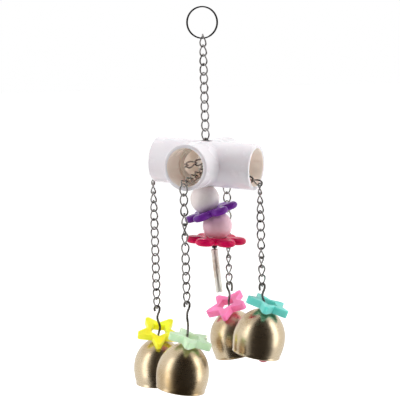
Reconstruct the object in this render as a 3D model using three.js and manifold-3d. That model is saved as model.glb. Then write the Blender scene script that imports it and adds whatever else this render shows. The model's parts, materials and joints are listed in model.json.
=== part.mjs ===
// A hanging bell toy for a cage bird. A split ring carries a curb chain, which goes down into a white
// four-way pipe fitting. Inside, one joining ring holds that chain, four side chains and the centre wire.
// The side chains lie over the lips of the fitting, and each carries a hook wire with a star and a bell.
// The centre wire carries beads and flowers, on which the fitting rests, and a rolled tube at its end.
// Millimetres, +Z up. The origin is where the split ring bears on the hook or bar that it hangs from.
import * as THREE from "three";
import { mergeVertices } from "three/addons/utils/BufferGeometryUtils.js";
import Module from "manifold-3d";

// Fits
const CLEARANCE = 0.3; // between pieces that touch
const HOOKED_GAP = 0.12; // more of it, where two bent wires hold each other
const LINK_BITE = 0.25; // how far two links of one rigid run sink into each other

// Eyes bent at the ends of the wires
const EYE_FROM = 215; // degrees round the eye, at the wire's end
const EYE_TO = -40; // degrees, where the shank leaves the eye
const EYE_NECK = 2.75; // how many times its radius the straight shank starts below its top

// Split ring, two turns of wire side by side
const RING_DIAMETER = 22;
const RING_WIRE = 0.95;
const RING_COIL_GAP = 0.45;
const RING_TURNS = 1.94;
const RING_HEADING = 37; // degrees, the way the ring's plane runs
const RING_START = 28; // degrees from the ring's bottom to its outer end

// Curb chain
const LINK_PITCH = 6.3;
const LINK_WIDTH = 6;
const LINK_WIRE = 1.15;
const LINK_TWIST = 90; // degrees, between the two ends of a link
const LINK_SQUARENESS = 0.75; // below 1 fills out the oval's shoulders
const LINKS_PER_RUN = 3;
const TOP_LINKS = 13;
const TOP_RING_YAW = -25; // degrees, the width of the link in the split ring
const TOP_CHAIN_YAW = 21; // degrees, the width of the links that hang between
const TOP_END_YAW = 17; // degrees, the width of the link in the joining ring
const TOP_YAW_LINKS = 4; // links over which the chain turns at either end

// Pipe fitting
const PIPE_DIAMETER = 31;
const ARM_LENGTH = 36.5; // from the centre to a mouth
const SOCKET_WALL = 2.75;
const SOCKET_DIAMETER = PIPE_DIAMETER - 2 * SOCKET_WALL;
const SOCKET_DEPTH = 19;
const SOCKET_STEP = 1.35; // the ledge at the end of the socket
const BORE_DIAMETER = SOCKET_DIAMETER - 2 * SOCKET_STEP;
const MOUTH_CHAMFER = 0.6;
const TOP_HOLE = 8.6;
const BOTTOM_HOLE = 11.5;
const FITTING_TILT = 3.9; // degrees, its right side hangs lower
const LIP_OVERHANG = 3.7; // how far the lip link's end stands out of the mouth
const LIP_RISE = 2.05; // how high its middle passes over the socket's wall
const LIP_SEAT = 1.85; // from its outer end in to the first hanging link
const LIP_ASIDE = 0.5; // that link hangs aside of its middle, where its twisted end is lowest
const LIP_YAW = 20; // degrees, that link is turned to lie square on the twisted end

// Joining ring
const JOINING_RADIUS = 4.7;
const JOINING_WIRE = 1.6;
const JOINING_HEADING = -45; // degrees, halfway between two arms
const JOINING_STACK = 1.8; // height of a side chain above or below the middle of all four
const JOINING_SAG = 0.9; // how far that middle hangs below the ring's

// Centre wire, and what is strung on it. Across is to the right of the axis.
const CENTRE_WIRE = 1.6;
const CENTRE_EYE = 2.3;
const WIRE_SLACK = 0.5; // how far the wire lies off the middle of a bead's bore
const BEAD_DIAMETER = 20;
const BEAD_BORE = 8;
const FLOWER_THICKNESS = 3.4;
const FLOWER_BEVEL = 1.3; // rounding of its edges, and of the hole that the beads sink into
const FLOWER_BORE = 11.6;
const PETALS = 6;
const PETAL_SHARE = 0.35; // a petal's radius as a share of its flower's
const PURPLE_DIAMETER = 36;
const RED_DIAMETER = 40;
const UPPER_BEAD_LEAN = 10; // degrees, its top leans left
const LOWER_BEAD_ACROSS = 6.4;
const LOWER_BEAD_LEAN = 9;
const PURPLE_LEAN = 17; // between the beads, which touch each other through it
const RED_ACROSS = 5.2;
const RED_LEAN = -3.7;
const SLEEVE_DIAMETER = 3.6;
const SLEEVE_LENGTH = 3.2;
const SLEEVE_ACROSS = 4.1;
const TUBE_DIAMETER = 4.6;
const TUBE_WALL = 0.5;
const TUBE_LENGTH = 30;
const TUBE_HOLE = 2.9;
const TUBE_LEAN = 5.2; // degrees, its lower end hangs to the right
const TUBE_DROP = 0.9; // bare wire between the sleeve and the tube
const SEAM_TOP = 0.3; // width of the rolled tube's seam at its top
const SEAM_FOOT = 1.3;
const HEAD_DIAMETER = 3.1; // upset head of the centre wire inside the tube

// Hook wires
const HOOK_WIRE = 1.6;
const HOOK_BEND = 1.75;
const HOOK_NECK = 6.4; // height in which the shank comes back under the hook
const HOOK_CLOSING = 0.9; // how far the free leg's end stands out, as a share of the bend
const BOW_AT = 0.45; // where the shank bows most, as a share of its length
const EYE_BEND = 1.9;
const EYE_TURN = 250; // degrees that the eye goes round
const CROWN_GUIDE = 1.5; // straight wire above and below the crown's hole

// Bells
const BELL_DIAMETER = 35.2;
const BELL_HEIGHT = 32;
const BELL_DOME = 21; // height of its round crown
const BELL_LIP = 33.6; // diameter at the drawn-in lip
const BELL_TUCK = 0.3; // share of the drawing-in that is reached halfway down the side
const BELL_WALL = 0.9;
const BELL_HOLE = 2.7;
const EYE_DROP = 1.1; // from the crown's underside to the top of the eye

// Stars
const STAR_TIP = 15.2;
const STAR_NOTCH = 7.8;
const STAR_THICKNESS = 5;
const STAR_BEVEL = 0.7;
const STAR_HOLE_TIP = 6.1;
const STAR_HOLE_NOTCH = 4.7;
const STAR_POINTS = 5;
const STAR_TIP_WIDTH = 3.8; // blunt end of a point, before it is rounded

// Clappers
const CLAPPER_WIRE = 1.2;
const CLAPPER_EYE = 2.1;
const CLAPPER_BEAD = 8.4;
const CLAPPER_BORE = 1.9;
const CLAPPER_SEAT = 5; // how deep the wire goes into its bead
const CLAPPER_LEAD = 2; // straight wire above the bead

// The toy hangs turned by this from the side that it is shown from.
const SHOWN_TURN = 21;
// What hangs at each arm: its heading, the drop from the fitting's centre to the hook, how the chain turns
// on its way, as a share of its length and degrees from facing the viewer, the shank from hook to crown and
// its bow, where the crown hangs across from the hook, the bell's lean, the star's lean across and towards
// the viewer, the hook's free leg and the side it is on, the side of the eye and the clapper's length.
const SETS = [
  {
    name: "left",
    heading: 180,
    drop: 101,
    turns: [
      [0.36, 0],
      [0.78, 0],
    ],
    stack: 1,
    shank: 22.8,
    bow: 1.5,
    crownAcross: 0.2,
    bellLean: 0,
    starLean: 9,
    starTip: 29,
    starTurn: -17,
    starSlide: 2.3,
    leg: 2,
    legSide: -1,
    eyeSide: -1,
    clapper: 23,
    colour: 0xf2ee3c,
  },
  {
    name: "front",
    heading: -90,
    drop: 89,
    turns: [
      [0.12, 0],
      [0.6, -180],
    ],
    stack: -1,
    shank: 28,
    bow: 0.6,
    crownAcross: -0.7,
    bellLean: 9.6,
    starLean: 17,
    starTip: 5,
    starTurn: 48,
    starSlide: 2.9,
    leg: 2,
    legSide: -1,
    eyeSide: -1,
    clapper: 23,
    colour: 0xc4e6bd,
  },
  {
    name: "back",
    heading: 90,
    drop: 89.5,
    turns: [
      [0.1, 0],
      [0.35, 0],
      [0.7, -90],
    ],
    stack: -1,
    shank: 20.2,
    bow: -0.4,
    crownAcross: -0.5,
    bellLean: -10,
    starLean: -22,
    starTip: 22,
    starTurn: 45,
    starSlide: 2.3,
    leg: 4.6,
    legSide: 1,
    eyeSide: 1,
    clapper: 23,
    colour: 0xf77fb0,
  },
  {
    name: "right",
    heading: 0,
    drop: 82,
    turns: [
      [0.42, 0],
      [0.5, 0],
      [0.9, -135],
    ],
    stack: 1,
    shank: 17.5,
    bow: 0.3,
    crownAcross: 1.6,
    bellLean: 12.6,
    starLean: 22,
    starTip: 5,
    starTurn: 47,
    starSlide: 2.1,
    leg: 3,
    legSide: -1,
    eyeSide: -1,
    clapper: 26,
    colour: 0x6fd0c2,
  },
];

// Facets
const WIRE_SIDES = 5;
const LINK_SIDES = 4;
const LINK_STEPS = 8;
const ROUND_STEPS = 18;
const EYE_STEPS = 9;
const HOOK_STEPS = 5;
const PIPE_STEPS = 24;

const wasm = await Module();
wasm.setup();

const UP = new THREE.Vector3(0, 0, 1);
const rad = THREE.MathUtils.degToRad;
const headingVector = (degrees) => new THREE.Vector3(Math.cos(rad(degrees)), Math.sin(rad(degrees)), 0);
const ACROSS = headingVector(SHOWN_TURN); // to the right as the toy is shown
const TOWARDS = headingVector(SHOWN_TURN - 90); // to whoever looks at it
const along = (point, direction, length) => point.clone().addScaledVector(direction, length);

const METALS = {
  nickel: { color: 0xb9b7b4, roughness: 0.25, metalness: 1 },
  darkSteel: { color: 0x6d6a68, roughness: 0.35, metalness: 1 },
  wire: { color: 0x9a9894, roughness: 0.3, metalness: 1 },
  brass: { color: 0xc9b183, roughness: 0.28, metalness: 1 },
};
const plastic = (color, roughness) => ({ color, roughness, metalness: 0 });

const toy = new THREE.Group();

function addMesh(parent, name, geometry, look) {
  const mesh = new THREE.Mesh(geometry, new THREE.MeshStandardMaterial(look));
  mesh.name = name;
  toy.add(mesh);
  parent.attach(mesh);
  return mesh;
}

// A group that turns: its origin is the point it turns about, and userData.axis the line it turns on.
function addPivot(parent, name, point, axis) {
  const pivot = new THREE.Group();
  pivot.name = name;
  pivot.position.copy(point);
  pivot.userData.axis = axis.clone().normalize();
  toy.add(pivot);
  parent.attach(pivot);
  return pivot;
}

// Solids for joining and cutting
function toSolid(geometry) {
  const bare = geometry.clone();
  bare.deleteAttribute("normal");
  bare.deleteAttribute("uv");
  const merged = mergeVertices(bare, 1e-4);
  return new wasm.Manifold(
    new wasm.Mesh({
      numProp: 3,
      vertProperties: merged.attributes.position.array,
      triVerts: new Uint32Array(merged.index.array),
    }),
  );
}

function toGeometry(solid) {
  const mesh = solid.getMesh();
  const geometry = new THREE.BufferGeometry();
  geometry.setAttribute("position", new THREE.BufferAttribute(mesh.vertProperties, mesh.numProp));
  geometry.setIndex(new THREE.BufferAttribute(mesh.triVerts, 1));
  geometry.computeVertexNormals();
  return geometry;
}

// A revolved piece whose axis is Z, from [radius, height] pairs
function revolve(profile, steps) {
  const points = profile.map(([radius, height]) => new THREE.Vector2(radius, height));
  return new THREE.LatheGeometry(points, steps).rotateX(Math.PI / 2);
}

function circlePoints(radius, steps) {
  return Array.from({ length: steps }, (_, i) => {
    const angle = (2 * Math.PI * i) / steps;
    return new THREE.Vector2(radius * Math.cos(angle), radius * Math.sin(angle));
  });
}

// A wire of round section along points, with square ends
function bendWire(points, diameter, steps) {
  const section = new THREE.Shape(circlePoints(diameter / 2, WIRE_SIDES));
  const path = new THREE.CatmullRomCurve3(points, false, "centripetal");
  return new THREE.ExtrudeGeometry(section, { steps, extrudePath: path });
}

// Points of an arc in the plane of two directions, angles in degrees from the first to the second
function arcPoints(centre, first, second, radius, from, to, count) {
  return Array.from({ length: count }, (_, i) => {
    const angle = rad(from + ((to - from) * i) / (count - 1));
    return along(along(centre, first, radius * Math.cos(angle)), second, radius * Math.sin(angle));
  });
}

// Turns a geometry so that its Z lies on a direction and its X as near as can be to another
function orient(geometry, zDirection, xDirection, place) {
  const z = zDirection.clone().normalize();
  const y = z.clone().cross(xDirection).normalize();
  const x = y.clone().cross(z);
  const matrix = new THREE.Matrix4().makeBasis(x, y, z).setPosition(place);
  return geometry.applyMatrix4(matrix);
}

// Curb links

// One link with its length on Z: an oval of wire whose two ends are turned against each other
function curbLink(halfLength) {
  const halfWidth = (LINK_WIDTH - LINK_WIRE) / 2;
  const centres = [];
  const normals = [];
  for (let i = 0; i < LINK_STEPS; i++) {
    const angle = Math.PI / 2 + (2 * Math.PI * i) / LINK_STEPS;
    const swell = Math.sign(Math.cos(angle)) * Math.abs(Math.cos(angle)) ** LINK_SQUARENESS;
    const height = Math.sin(angle);
    const twist = (-rad(LINK_TWIST) / 2) * height;
    const width = new THREE.Vector3(Math.cos(twist), Math.sin(twist), 0);
    centres.push(width.clone().multiplyScalar(halfWidth * swell).setZ(halfLength * height));
    normals.push(new THREE.Vector3(-width.y, width.x, 0));
  }
  const positions = [];
  centres.forEach((centre, i) => {
    const before = centres[(i + LINK_STEPS - 1) % LINK_STEPS];
    const after = centres[(i + 1) % LINK_STEPS];
    const tangent = after.clone().sub(before).normalize();
    const inwards = normals[i].clone().cross(tangent).normalize();
    const sideways = tangent.clone().cross(inwards);
    for (let j = 0; j < LINK_SIDES; j++) {
      const turn = (2 * Math.PI * j) / LINK_SIDES;
      const point = along(centre, inwards, (LINK_WIRE / 2) * Math.cos(turn));
      positions.push(...along(point, sideways, (LINK_WIRE / 2) * Math.sin(turn)).toArray());
    }
  });
  const index = [];
  for (let i = 0; i < LINK_STEPS; i++) {
    for (let j = 0; j < LINK_SIDES; j++) {
      const next = (i + 1) % LINK_STEPS;
      const beside = (j + 1) % LINK_SIDES;
      const [a, b] = [i * LINK_SIDES + j, next * LINK_SIDES + j];
      const [c, d] = [next * LINK_SIDES + beside, i * LINK_SIDES + beside];
      index.push(a, c, b, a, d, c);
    }
  }
  const geometry = new THREE.BufferGeometry();
  geometry.setAttribute("position", new THREE.Float32BufferAttribute(positions, 3));
  geometry.setIndex(index);
  return geometry;
}

// Distance between the middles of two wires that cross with the usual clearance
const wireGap = (one, other) => (one + other) / 2 + CLEARANCE + HOOKED_GAP;
const LINK_GAP = wireGap(LINK_WIRE, LINK_WIRE);

// A straight stretch of chain between two points of contact. Links hang together in rigid runs, and
// each run is a solid. yawOf gives a link's width as degrees round the chain from a level direction.
function layChain(from, to, links, startGap, endGap, yawOf) {
  const travel = to.clone().sub(from);
  const spacing = travel.length() / links;
  travel.normalize();
  const back = travel.clone().negate();
  const level = Math.abs(travel.z) > 0.9 ? new THREE.Vector3(1, 0, 0) : UP.clone().cross(travel);
  const runs = Array.from({ length: Math.max(1, Math.round(links / LINKS_PER_RUN)) }, () => []);
  for (let i = 0; i < links; i++) runs[Math.floor((i * runs.length) / links)].push(i);
  const gapAt = (i) => {
    if (i === 0) return startGap;
    if (i === links) return endGap;
    return runs.some((run) => run[0] === i) ? LINK_GAP : LINK_WIRE - LINK_BITE;
  };
  return runs.map((run) => {
    const solids = run.map((i) => {
      const upperEnd = along(from, travel, i * spacing - gapAt(i) / 2);
      const lowerEnd = along(from, travel, (i + 1) * spacing + gapAt(i + 1) / 2);
      const middle = upperEnd.clone().add(lowerEnd).divideScalar(2);
      const link = curbLink(upperEnd.distanceTo(lowerEnd) / 2).rotateZ(rad(yawOf(i)));
      return toSolid(orient(link, back, level, middle));
    });
    const geometry = toGeometry(solids.reduce((all, solid) => all.add(solid)));
    const first = run[0];
    return {
      geometry,
      hold: along(from, travel, first * spacing), // where this run turns on the link above
    };
  });
}

function addRuns(parent, name, runs, firstNumber) {
  runs.forEach((run, i) => addMesh(parent, `${name}_${firstNumber + i}`, run.geometry, METALS.nickel));
}

// Split ring
const ringRadius = (RING_DIAMETER - RING_WIRE) / 2;
const ringCentre = new THREE.Vector3(0, 0, RING_WIRE - RING_DIAMETER / 2);
const ringBottom = along(ringCentre, UP, -ringRadius);
const ringPlane = headingVector(RING_HEADING);
const ringAxis = headingVector(RING_HEADING - 90);

function splitRing() {
  const rise = RING_WIRE + RING_COIL_GAP;
  const bottomTurn = 1.5 - RING_START / 360; // the two turns lie evenly about the chain that hangs in them
  const stepsPerTurn = 20;
  const count = Math.round(RING_TURNS * stepsPerTurn);
  const points = Array.from({ length: count + 1 }, (_, i) => {
    const turn = (RING_TURNS * i) / count;
    const angle = 2 * Math.PI * turn + rad(RING_START - 90);
    const point = along(ringCentre, ringPlane, ringRadius * Math.cos(angle));
    point.addScaledVector(UP, ringRadius * Math.sin(angle));
    return point.addScaledVector(ringAxis, rise * (turn - bottomTurn));
  });
  return bendWire(points, RING_WIRE, count);
}

addMesh(toy, "split_ring", splitRing(), METALS.darkSteel);

// Top chain, whose last link goes round the top of the joining ring
const ringHoldGap = wireGap(RING_WIRE, LINK_WIRE) + RING_WIRE;
const joiningGap = wireGap(JOINING_WIRE, LINK_WIRE);
const topStart = along(ringBottom, UP, ringHoldGap / 2);
const topEnd = along(topStart, UP, -TOP_LINKS * LINK_PITCH);
const centre = along(topEnd, UP, joiningGap / 2 - JOINING_RADIUS); // of the fitting and the joining ring

function topYaw(i) {
  const fromTop = Math.min(1, i / TOP_YAW_LINKS);
  const fromEnd = Math.min(1, (TOP_LINKS - 1 - i) / TOP_YAW_LINKS);
  const start = THREE.MathUtils.lerp(TOP_RING_YAW, TOP_CHAIN_YAW, fromTop);
  return THREE.MathUtils.lerp(TOP_END_YAW, start, fromEnd);
}

const topRuns = layChain(topStart, topEnd, TOP_LINKS, ringHoldGap, joiningGap, topYaw);
const topSplit = Math.floor(topRuns.length / 2);
const upperChain = addPivot(toy, "ring_swing", ringBottom, ringPlane);
addRuns(upperChain, "top_chain", topRuns.slice(0, topSplit), 1);
const lowerChain = addPivot(upperChain, "top_chain_bend", topRuns[topSplit].hold, TOWARDS);
addRuns(lowerChain, "top_chain", topRuns.slice(topSplit), topSplit + 1);

// Everything from the joining ring down turns as the chain twists
const body = addPivot(lowerChain, "cross_turn", centre, UP);
const tilt = new THREE.Quaternion().setFromAxisAngle(TOWARDS, -rad(FITTING_TILT));
const onFitting = (local) => local.clone().applyQuaternion(tilt).add(centre);

// Pipe fitting
function pipeFitting() {
  const outer = PIPE_DIAMETER / 2;
  const socket = SOCKET_DIAMETER / 2;
  const barrel = revolve(
    [
      [0, -ARM_LENGTH],
      [outer - MOUTH_CHAMFER, -ARM_LENGTH],
      [outer, MOUTH_CHAMFER - ARM_LENGTH],
      [outer, ARM_LENGTH - MOUTH_CHAMFER],
      [outer - MOUTH_CHAMFER, ARM_LENGTH],
      [0, ARM_LENGTH],
    ],
    PIPE_STEPS,
  );
  const past = ARM_LENGTH + 1;
  const floor = ARM_LENGTH - SOCKET_DEPTH;
  const cutter = revolve(
    [
      [0, -past],
      [socket + MOUTH_CHAMFER, -past],
      [socket + MOUTH_CHAMFER, -ARM_LENGTH],
      [socket, MOUTH_CHAMFER - ARM_LENGTH],
      [socket, -floor],
      [BORE_DIAMETER / 2, -floor],
      [BORE_DIAMETER / 2, floor],
      [socket, floor],
      [socket, ARM_LENGTH - MOUTH_CHAMFER],
      [socket + MOUTH_CHAMFER, ARM_LENGTH],
      [socket + MOUTH_CHAMFER, past],
      [0, past],
    ],
    PIPE_STEPS,
  );
  const lie = (geometry, axis) => toSolid(orient(geometry.clone(), axis, UP, new THREE.Vector3()));
  const hole = (diameter, side) => {
    const drill = new THREE.CylinderGeometry(diameter / 2, diameter / 2, PIPE_DIAMETER, ROUND_STEPS);
    return toSolid(drill.rotateX(Math.PI / 2).translate(0, 0, (side * PIPE_DIAMETER) / 2));
  };
  const x = new THREE.Vector3(1, 0, 0);
  const y = new THREE.Vector3(0, 1, 0);
  const solid = lie(barrel, x)
    .add(lie(barrel, y))
    .subtract(lie(cutter, x))
    .subtract(lie(cutter, y))
    .subtract(hole(TOP_HOLE, 1))
    .subtract(hole(BOTTOM_HOLE, -1));
  return toGeometry(solid);
}

const fittingUp = UP.clone().applyQuaternion(tilt);
const fittingRight = new THREE.Vector3(1, 0, 0).applyQuaternion(tilt);
const fitting = orient(pipeFitting(), fittingUp, fittingRight, centre);
addMesh(body, "pipe_cross", fitting, plastic(0xf2eef2, 0.2));

// Joining ring, standing halfway between the arms
const joiningPlane = headingVector(JOINING_HEADING);
const joiningGeometry = new THREE.TorusGeometry(JOINING_RADIUS, JOINING_WIRE / 2, WIRE_SIDES, ROUND_STEPS);
orient(joiningGeometry, headingVector(JOINING_HEADING + 90), joiningPlane, centre);
addMesh(body, "joining_ring", joiningGeometry, METALS.wire);

// Centre string

// The upper bead sits in the bottom hole. The lower one touches it, and sits in the flower below.
const beadRadius = BEAD_DIAMETER / 2;
// From a bead's middle down to where it fills a hole
const seatDepth = (radius) => Math.sqrt(beadRadius ** 2 - radius ** 2);
const strungAt = (across, depth) => along(along(centre, ACROSS, across), UP, -depth);
const leaning = (degrees) => UP.clone().applyAxisAngle(TOWARDS, rad(degrees));
const seatDrop = PIPE_DIAMETER / 2 + seatDepth(BOTTOM_HOLE / 2) + 2 * CLEARANCE;
const upperBeadAt = onFitting(new THREE.Vector3(0, 0, -seatDrop));
const upperBeadAcross = upperBeadAt.clone().sub(centre).dot(ACROSS);
const upperBeadDepth = centre.z - upperBeadAt.z;
const beadShift = LOWER_BEAD_ACROSS - upperBeadAcross;
const lowerBeadDepth = upperBeadDepth + Math.sqrt((BEAD_DIAMETER + CLEARANCE) ** 2 - beadShift ** 2);
const lowerBeadAt = strungAt(LOWER_BEAD_ACROSS, lowerBeadDepth);
const purpleAt = upperBeadAt.clone().add(lowerBeadAt).divideScalar(2);
const flowerMouth = FLOWER_BORE / 2 + FLOWER_BEVEL - CLEARANCE;
const redSeat = seatDepth(flowerMouth - Math.abs(LOWER_BEAD_ACROSS - RED_ACROSS));
const redDepth = lowerBeadDepth + redSeat + FLOWER_THICKNESS / 2;
const redAt = strungAt(RED_ACROSS, redDepth);
const sleeveTop = redDepth + FLOWER_THICKNESS / 2 + CLEARANCE;
const sleeveFoot = sleeveTop + SLEEVE_LENGTH;

function bead() {
  const bore = BEAD_BORE / 2;
  const arcSteps = 8;
  const edge = Math.acos(bore / beadRadius);
  const profile = Array.from({ length: arcSteps + 1 }, (_, i) => {
    const angle = -edge + (2 * edge * i) / arcSteps;
    return [beadRadius * Math.cos(angle), beadRadius * Math.sin(angle)];
  });
  return revolve([...profile, profile[0]], ROUND_STEPS);
}

// A flat flower of round petals with softened edges and a hole in the middle
function flower(diameter) {
  const radius = diameter / 2 - FLOWER_BEVEL;
  const petal = radius * PETAL_SHARE;
  const reach = radius - petal;
  const half = Math.PI / PETALS;
  const notch = reach * Math.cos(half) + Math.sqrt(petal ** 2 - (reach * Math.sin(half)) ** 2);
  const spread = Math.atan2(notch * Math.sin(half), notch * Math.cos(half) - reach);
  const outline = new THREE.Shape();
  for (let i = 0; i < PETALS; i++) {
    const angle = 2 * half * i;
    const [x, y] = [reach * Math.cos(angle), reach * Math.sin(angle)];
    outline.absarc(x, y, petal, angle - spread, angle + spread);
  }
  outline.holes.push(new THREE.Path(circlePoints(FLOWER_BORE / 2 + FLOWER_BEVEL, ROUND_STEPS).reverse()));
  return new THREE.ExtrudeGeometry(outline, {
    depth: FLOWER_THICKNESS - 2 * FLOWER_BEVEL,
    curveSegments: 3,
    bevelThickness: FLOWER_BEVEL,
    bevelSize: FLOWER_BEVEL,
    bevelSegments: 2,
  }).translate(0, 0, FLOWER_BEVEL - FLOWER_THICKNESS / 2);
}

function addStrung(name, geometry, place, lean, look) {
  const axis = leaning(lean);
  const pivot = addPivot(body, `${name}_spin`, place, axis);
  addMesh(pivot, name, orient(geometry, axis, ACROSS, place), look);
}

addStrung("bead_upper", bead(), upperBeadAt, UPPER_BEAD_LEAN, plastic(0xefe4e8, 0.3));
addStrung("flower_purple", flower(PURPLE_DIAMETER), purpleAt, PURPLE_LEAN, plastic(0x6d2d86, 0.15));
addStrung("bead_lower", bead(), lowerBeadAt, LOWER_BEAD_LEAN, plastic(0xeabfd0, 0.3));
addStrung("flower_red", flower(RED_DIAMETER), redAt, RED_LEAN, plastic(0xd31c55, 0.15));

// An eye bent at the end of a wire, with its shank leading away below the middle of the eye
function eyePoints(top, first, radius) {
  const middle = along(top, UP, -radius);
  return arcPoints(middle, first, UP, radius, EYE_FROM, EYE_TO, EYE_STEPS);
}

// The centre wire hangs by its eye in the joining ring, and winds down through what is strung on it.
const eyeTop = along(centre, UP, wireGap(JOINING_WIRE, CENTRE_WIRE) - JOINING_RADIUS);
const eyeAcross = headingVector(JOINING_HEADING + 90);
const headAt = strungAt(SLEEVE_ACROSS, sleeveFoot + TUBE_DROP + TUBE_WALL + CLEARANCE + HEAD_DIAMETER / 2);
const wirePoints = [
  ...eyePoints(eyeTop, eyeAcross, CENTRE_EYE),
  along(eyeTop, UP, -EYE_NECK * CENTRE_EYE),
  strungAt(upperBeadAcross / 2, upperBeadDepth - beadRadius),
  strungAt(upperBeadAcross + WIRE_SLACK, upperBeadDepth),
  along(purpleAt, ACROSS, WIRE_SLACK),
  strungAt(LOWER_BEAD_ACROSS - WIRE_SLACK, lowerBeadDepth),
  strungAt(RED_ACROSS, redDepth),
  strungAt(SLEEVE_ACROSS, sleeveTop),
  strungAt(SLEEVE_ACROSS, sleeveFoot),
  headAt,
];
const wireHead = new THREE.SphereGeometry(HEAD_DIAMETER / 2, 10, 7).translate(...headAt.toArray());
const centreWire = toSolid(bendWire(wirePoints, CENTRE_WIRE, 34)).add(toSolid(wireHead));
addMesh(body, "centre_wire", toGeometry(centreWire), METALS.wire);

const sleeveBore = CENTRE_WIRE / 2 + CLEARANCE;
const sleeve = revolve(
  [
    [sleeveBore, 0],
    [SLEEVE_DIAMETER / 2, 0],
    [SLEEVE_DIAMETER / 2, SLEEVE_LENGTH],
    [sleeveBore, SLEEVE_LENGTH],
    [sleeveBore, 0],
  ],
  12,
).translate(...strungAt(SLEEVE_ACROSS, sleeveFoot).toArray());
addMesh(body, "stop_sleeve", sleeve, plastic(0x1d1b1d, 0.6));

// A tube rolled from sheet, closed at the top round the wire, with its seam gaping towards the foot
function rolledTube() {
  const outer = TUBE_DIAMETER / 2;
  const inner = outer - TUBE_WALL;
  const wall = revolve(
    [
      [TUBE_HOLE / 2, 0],
      [TUBE_HOLE / 2, -TUBE_WALL],
      [inner, -TUBE_WALL],
      [inner, -TUBE_LENGTH],
      [outer, -TUBE_LENGTH],
      [outer, 0],
      [TUBE_HOLE / 2, 0],
    ],
    ROUND_STEPS,
  );
  const wedge = new THREE.Shape([
    new THREE.Vector2(-SEAM_TOP / 2, -2 * TUBE_WALL),
    new THREE.Vector2(-SEAM_FOOT / 2, -TUBE_LENGTH - 1),
    new THREE.Vector2(SEAM_FOOT / 2, -TUBE_LENGTH - 1),
    new THREE.Vector2(SEAM_TOP / 2, -2 * TUBE_WALL),
  ]);
  const seam = new THREE.ExtrudeGeometry(wedge, { depth: TUBE_DIAMETER, bevelEnabled: false });
  return toGeometry(toSolid(wall).subtract(toSolid(seam.rotateX(Math.PI / 2))));
}

const tubeTop = TUBE_WALL + CLEARANCE + HEAD_DIAMETER / 2;
const tubeAxis = UP.clone().applyAxisAngle(TOWARDS, rad(TUBE_LEAN));
const tubePivot = addPivot(body, "tube_swing", headAt, TOWARDS);
const tube = orient(rolledTube(), tubeAxis, ACROSS, along(headAt, tubeAxis, tubeTop));
addMesh(tubePivot, "clapper_tube", tube, { color: 0xb3aca2, roughness: 0.3, metalness: 1 });

// Bell sets

// A cup with a round crown, a hole for the wire and a lip drawn in a little. Its crown is at zero.
function bellCup() {
  const outer = BELL_DIAMETER / 2;
  const lip = BELL_LIP / 2;
  const arcSteps = 5;
  const dome = (wall) => {
    const start = Math.asin(BELL_HOLE / 2 / (outer - wall));
    return Array.from({ length: arcSteps + 1 }, (_, i) => {
      const angle = start + ((Math.PI / 2 - start) * i) / arcSteps;
      return [(outer - wall) * Math.sin(angle), (BELL_DOME - wall) * Math.cos(angle) - BELL_DOME];
    });
  };
  const tuck = (outer - lip) * BELL_TUCK;
  const low = -(BELL_DOME + BELL_HEIGHT) / 2;
  const side = [
    [outer - tuck, low],
    [lip, -BELL_HEIGHT],
  ];
  const outside = [...dome(0), ...side];
  const inside = [...dome(BELL_WALL), ...side.map(([radius, height]) => [radius - BELL_WALL, height])];
  return revolve([...inside, ...outside.reverse(), inside[0]], ROUND_STEPS);
}

// Corners of a star, its points blunted to a width where one is given
function starCorners(tip, notch, blunt) {
  const corners = [];
  for (let i = 0; i < STAR_POINTS; i++) {
    const angle = (2 * Math.PI * i) / STAR_POINTS;
    const turn = (x, y) =>
      new THREE.Vector2(x * Math.cos(angle) - y * Math.sin(angle), x * Math.sin(angle) + y * Math.cos(angle));
    if (blunt) {
      corners.push(turn(tip - blunt / 3, -blunt / 2), turn(tip, -blunt / 5));
      corners.push(turn(tip, blunt / 5), turn(tip - blunt / 3, blunt / 2));
    } else {
      corners.push(turn(tip, 0));
    }
    const half = Math.PI / STAR_POINTS;
    corners.push(turn(notch * Math.cos(half), notch * Math.sin(half)));
  }
  return corners;
}

function star() {
  const edge = starCorners(STAR_TIP - STAR_BEVEL, STAR_NOTCH - STAR_BEVEL, STAR_TIP_WIDTH);
  const outline = new THREE.Shape(edge);
  const hole = starCorners(STAR_HOLE_TIP + STAR_BEVEL, STAR_HOLE_NOTCH + STAR_BEVEL, 0);
  outline.holes.push(new THREE.Path(hole.reverse()));
  return new THREE.ExtrudeGeometry(outline, {
    depth: STAR_THICKNESS - 2 * STAR_BEVEL,
    bevelThickness: STAR_BEVEL,
    bevelSize: STAR_BEVEL,
    bevelSegments: 1,
  }).translate(0, 0, STAR_BEVEL - STAR_THICKNESS / 2);
}

// A hook over the last link, a shank down to the crown, and an eye inside the bell
function hookPoints(set, top, crown, eyeMiddle) {
  const bend = along(top, UP, -HOOK_BEND);
  const legSide = ACROSS.clone().multiplyScalar(set.legSide);
  const hook = arcPoints(bend, legSide, UP, HOOK_BEND, 0, 180, HOOK_STEPS);
  const leg = along(along(bend, legSide, HOOK_CLOSING * HOOK_BEND), UP, -set.leg);
  const neck = along(bend, UP, -HOOK_NECK);
  const bowed = along(neck.clone().lerp(crown, BOW_AT), ACROSS, set.bow);
  const eyeSide = ACROSS.clone().multiplyScalar(-set.eyeSide);
  const eye = arcPoints(eyeMiddle, eyeSide, UP, EYE_BEND, 0, -EYE_TURN, EYE_STEPS);
  return [leg, ...hook, neck, bowed, along(crown, UP, CROWN_GUIDE), along(crown, UP, -CROWN_GUIDE), ...eye];
}

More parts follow.
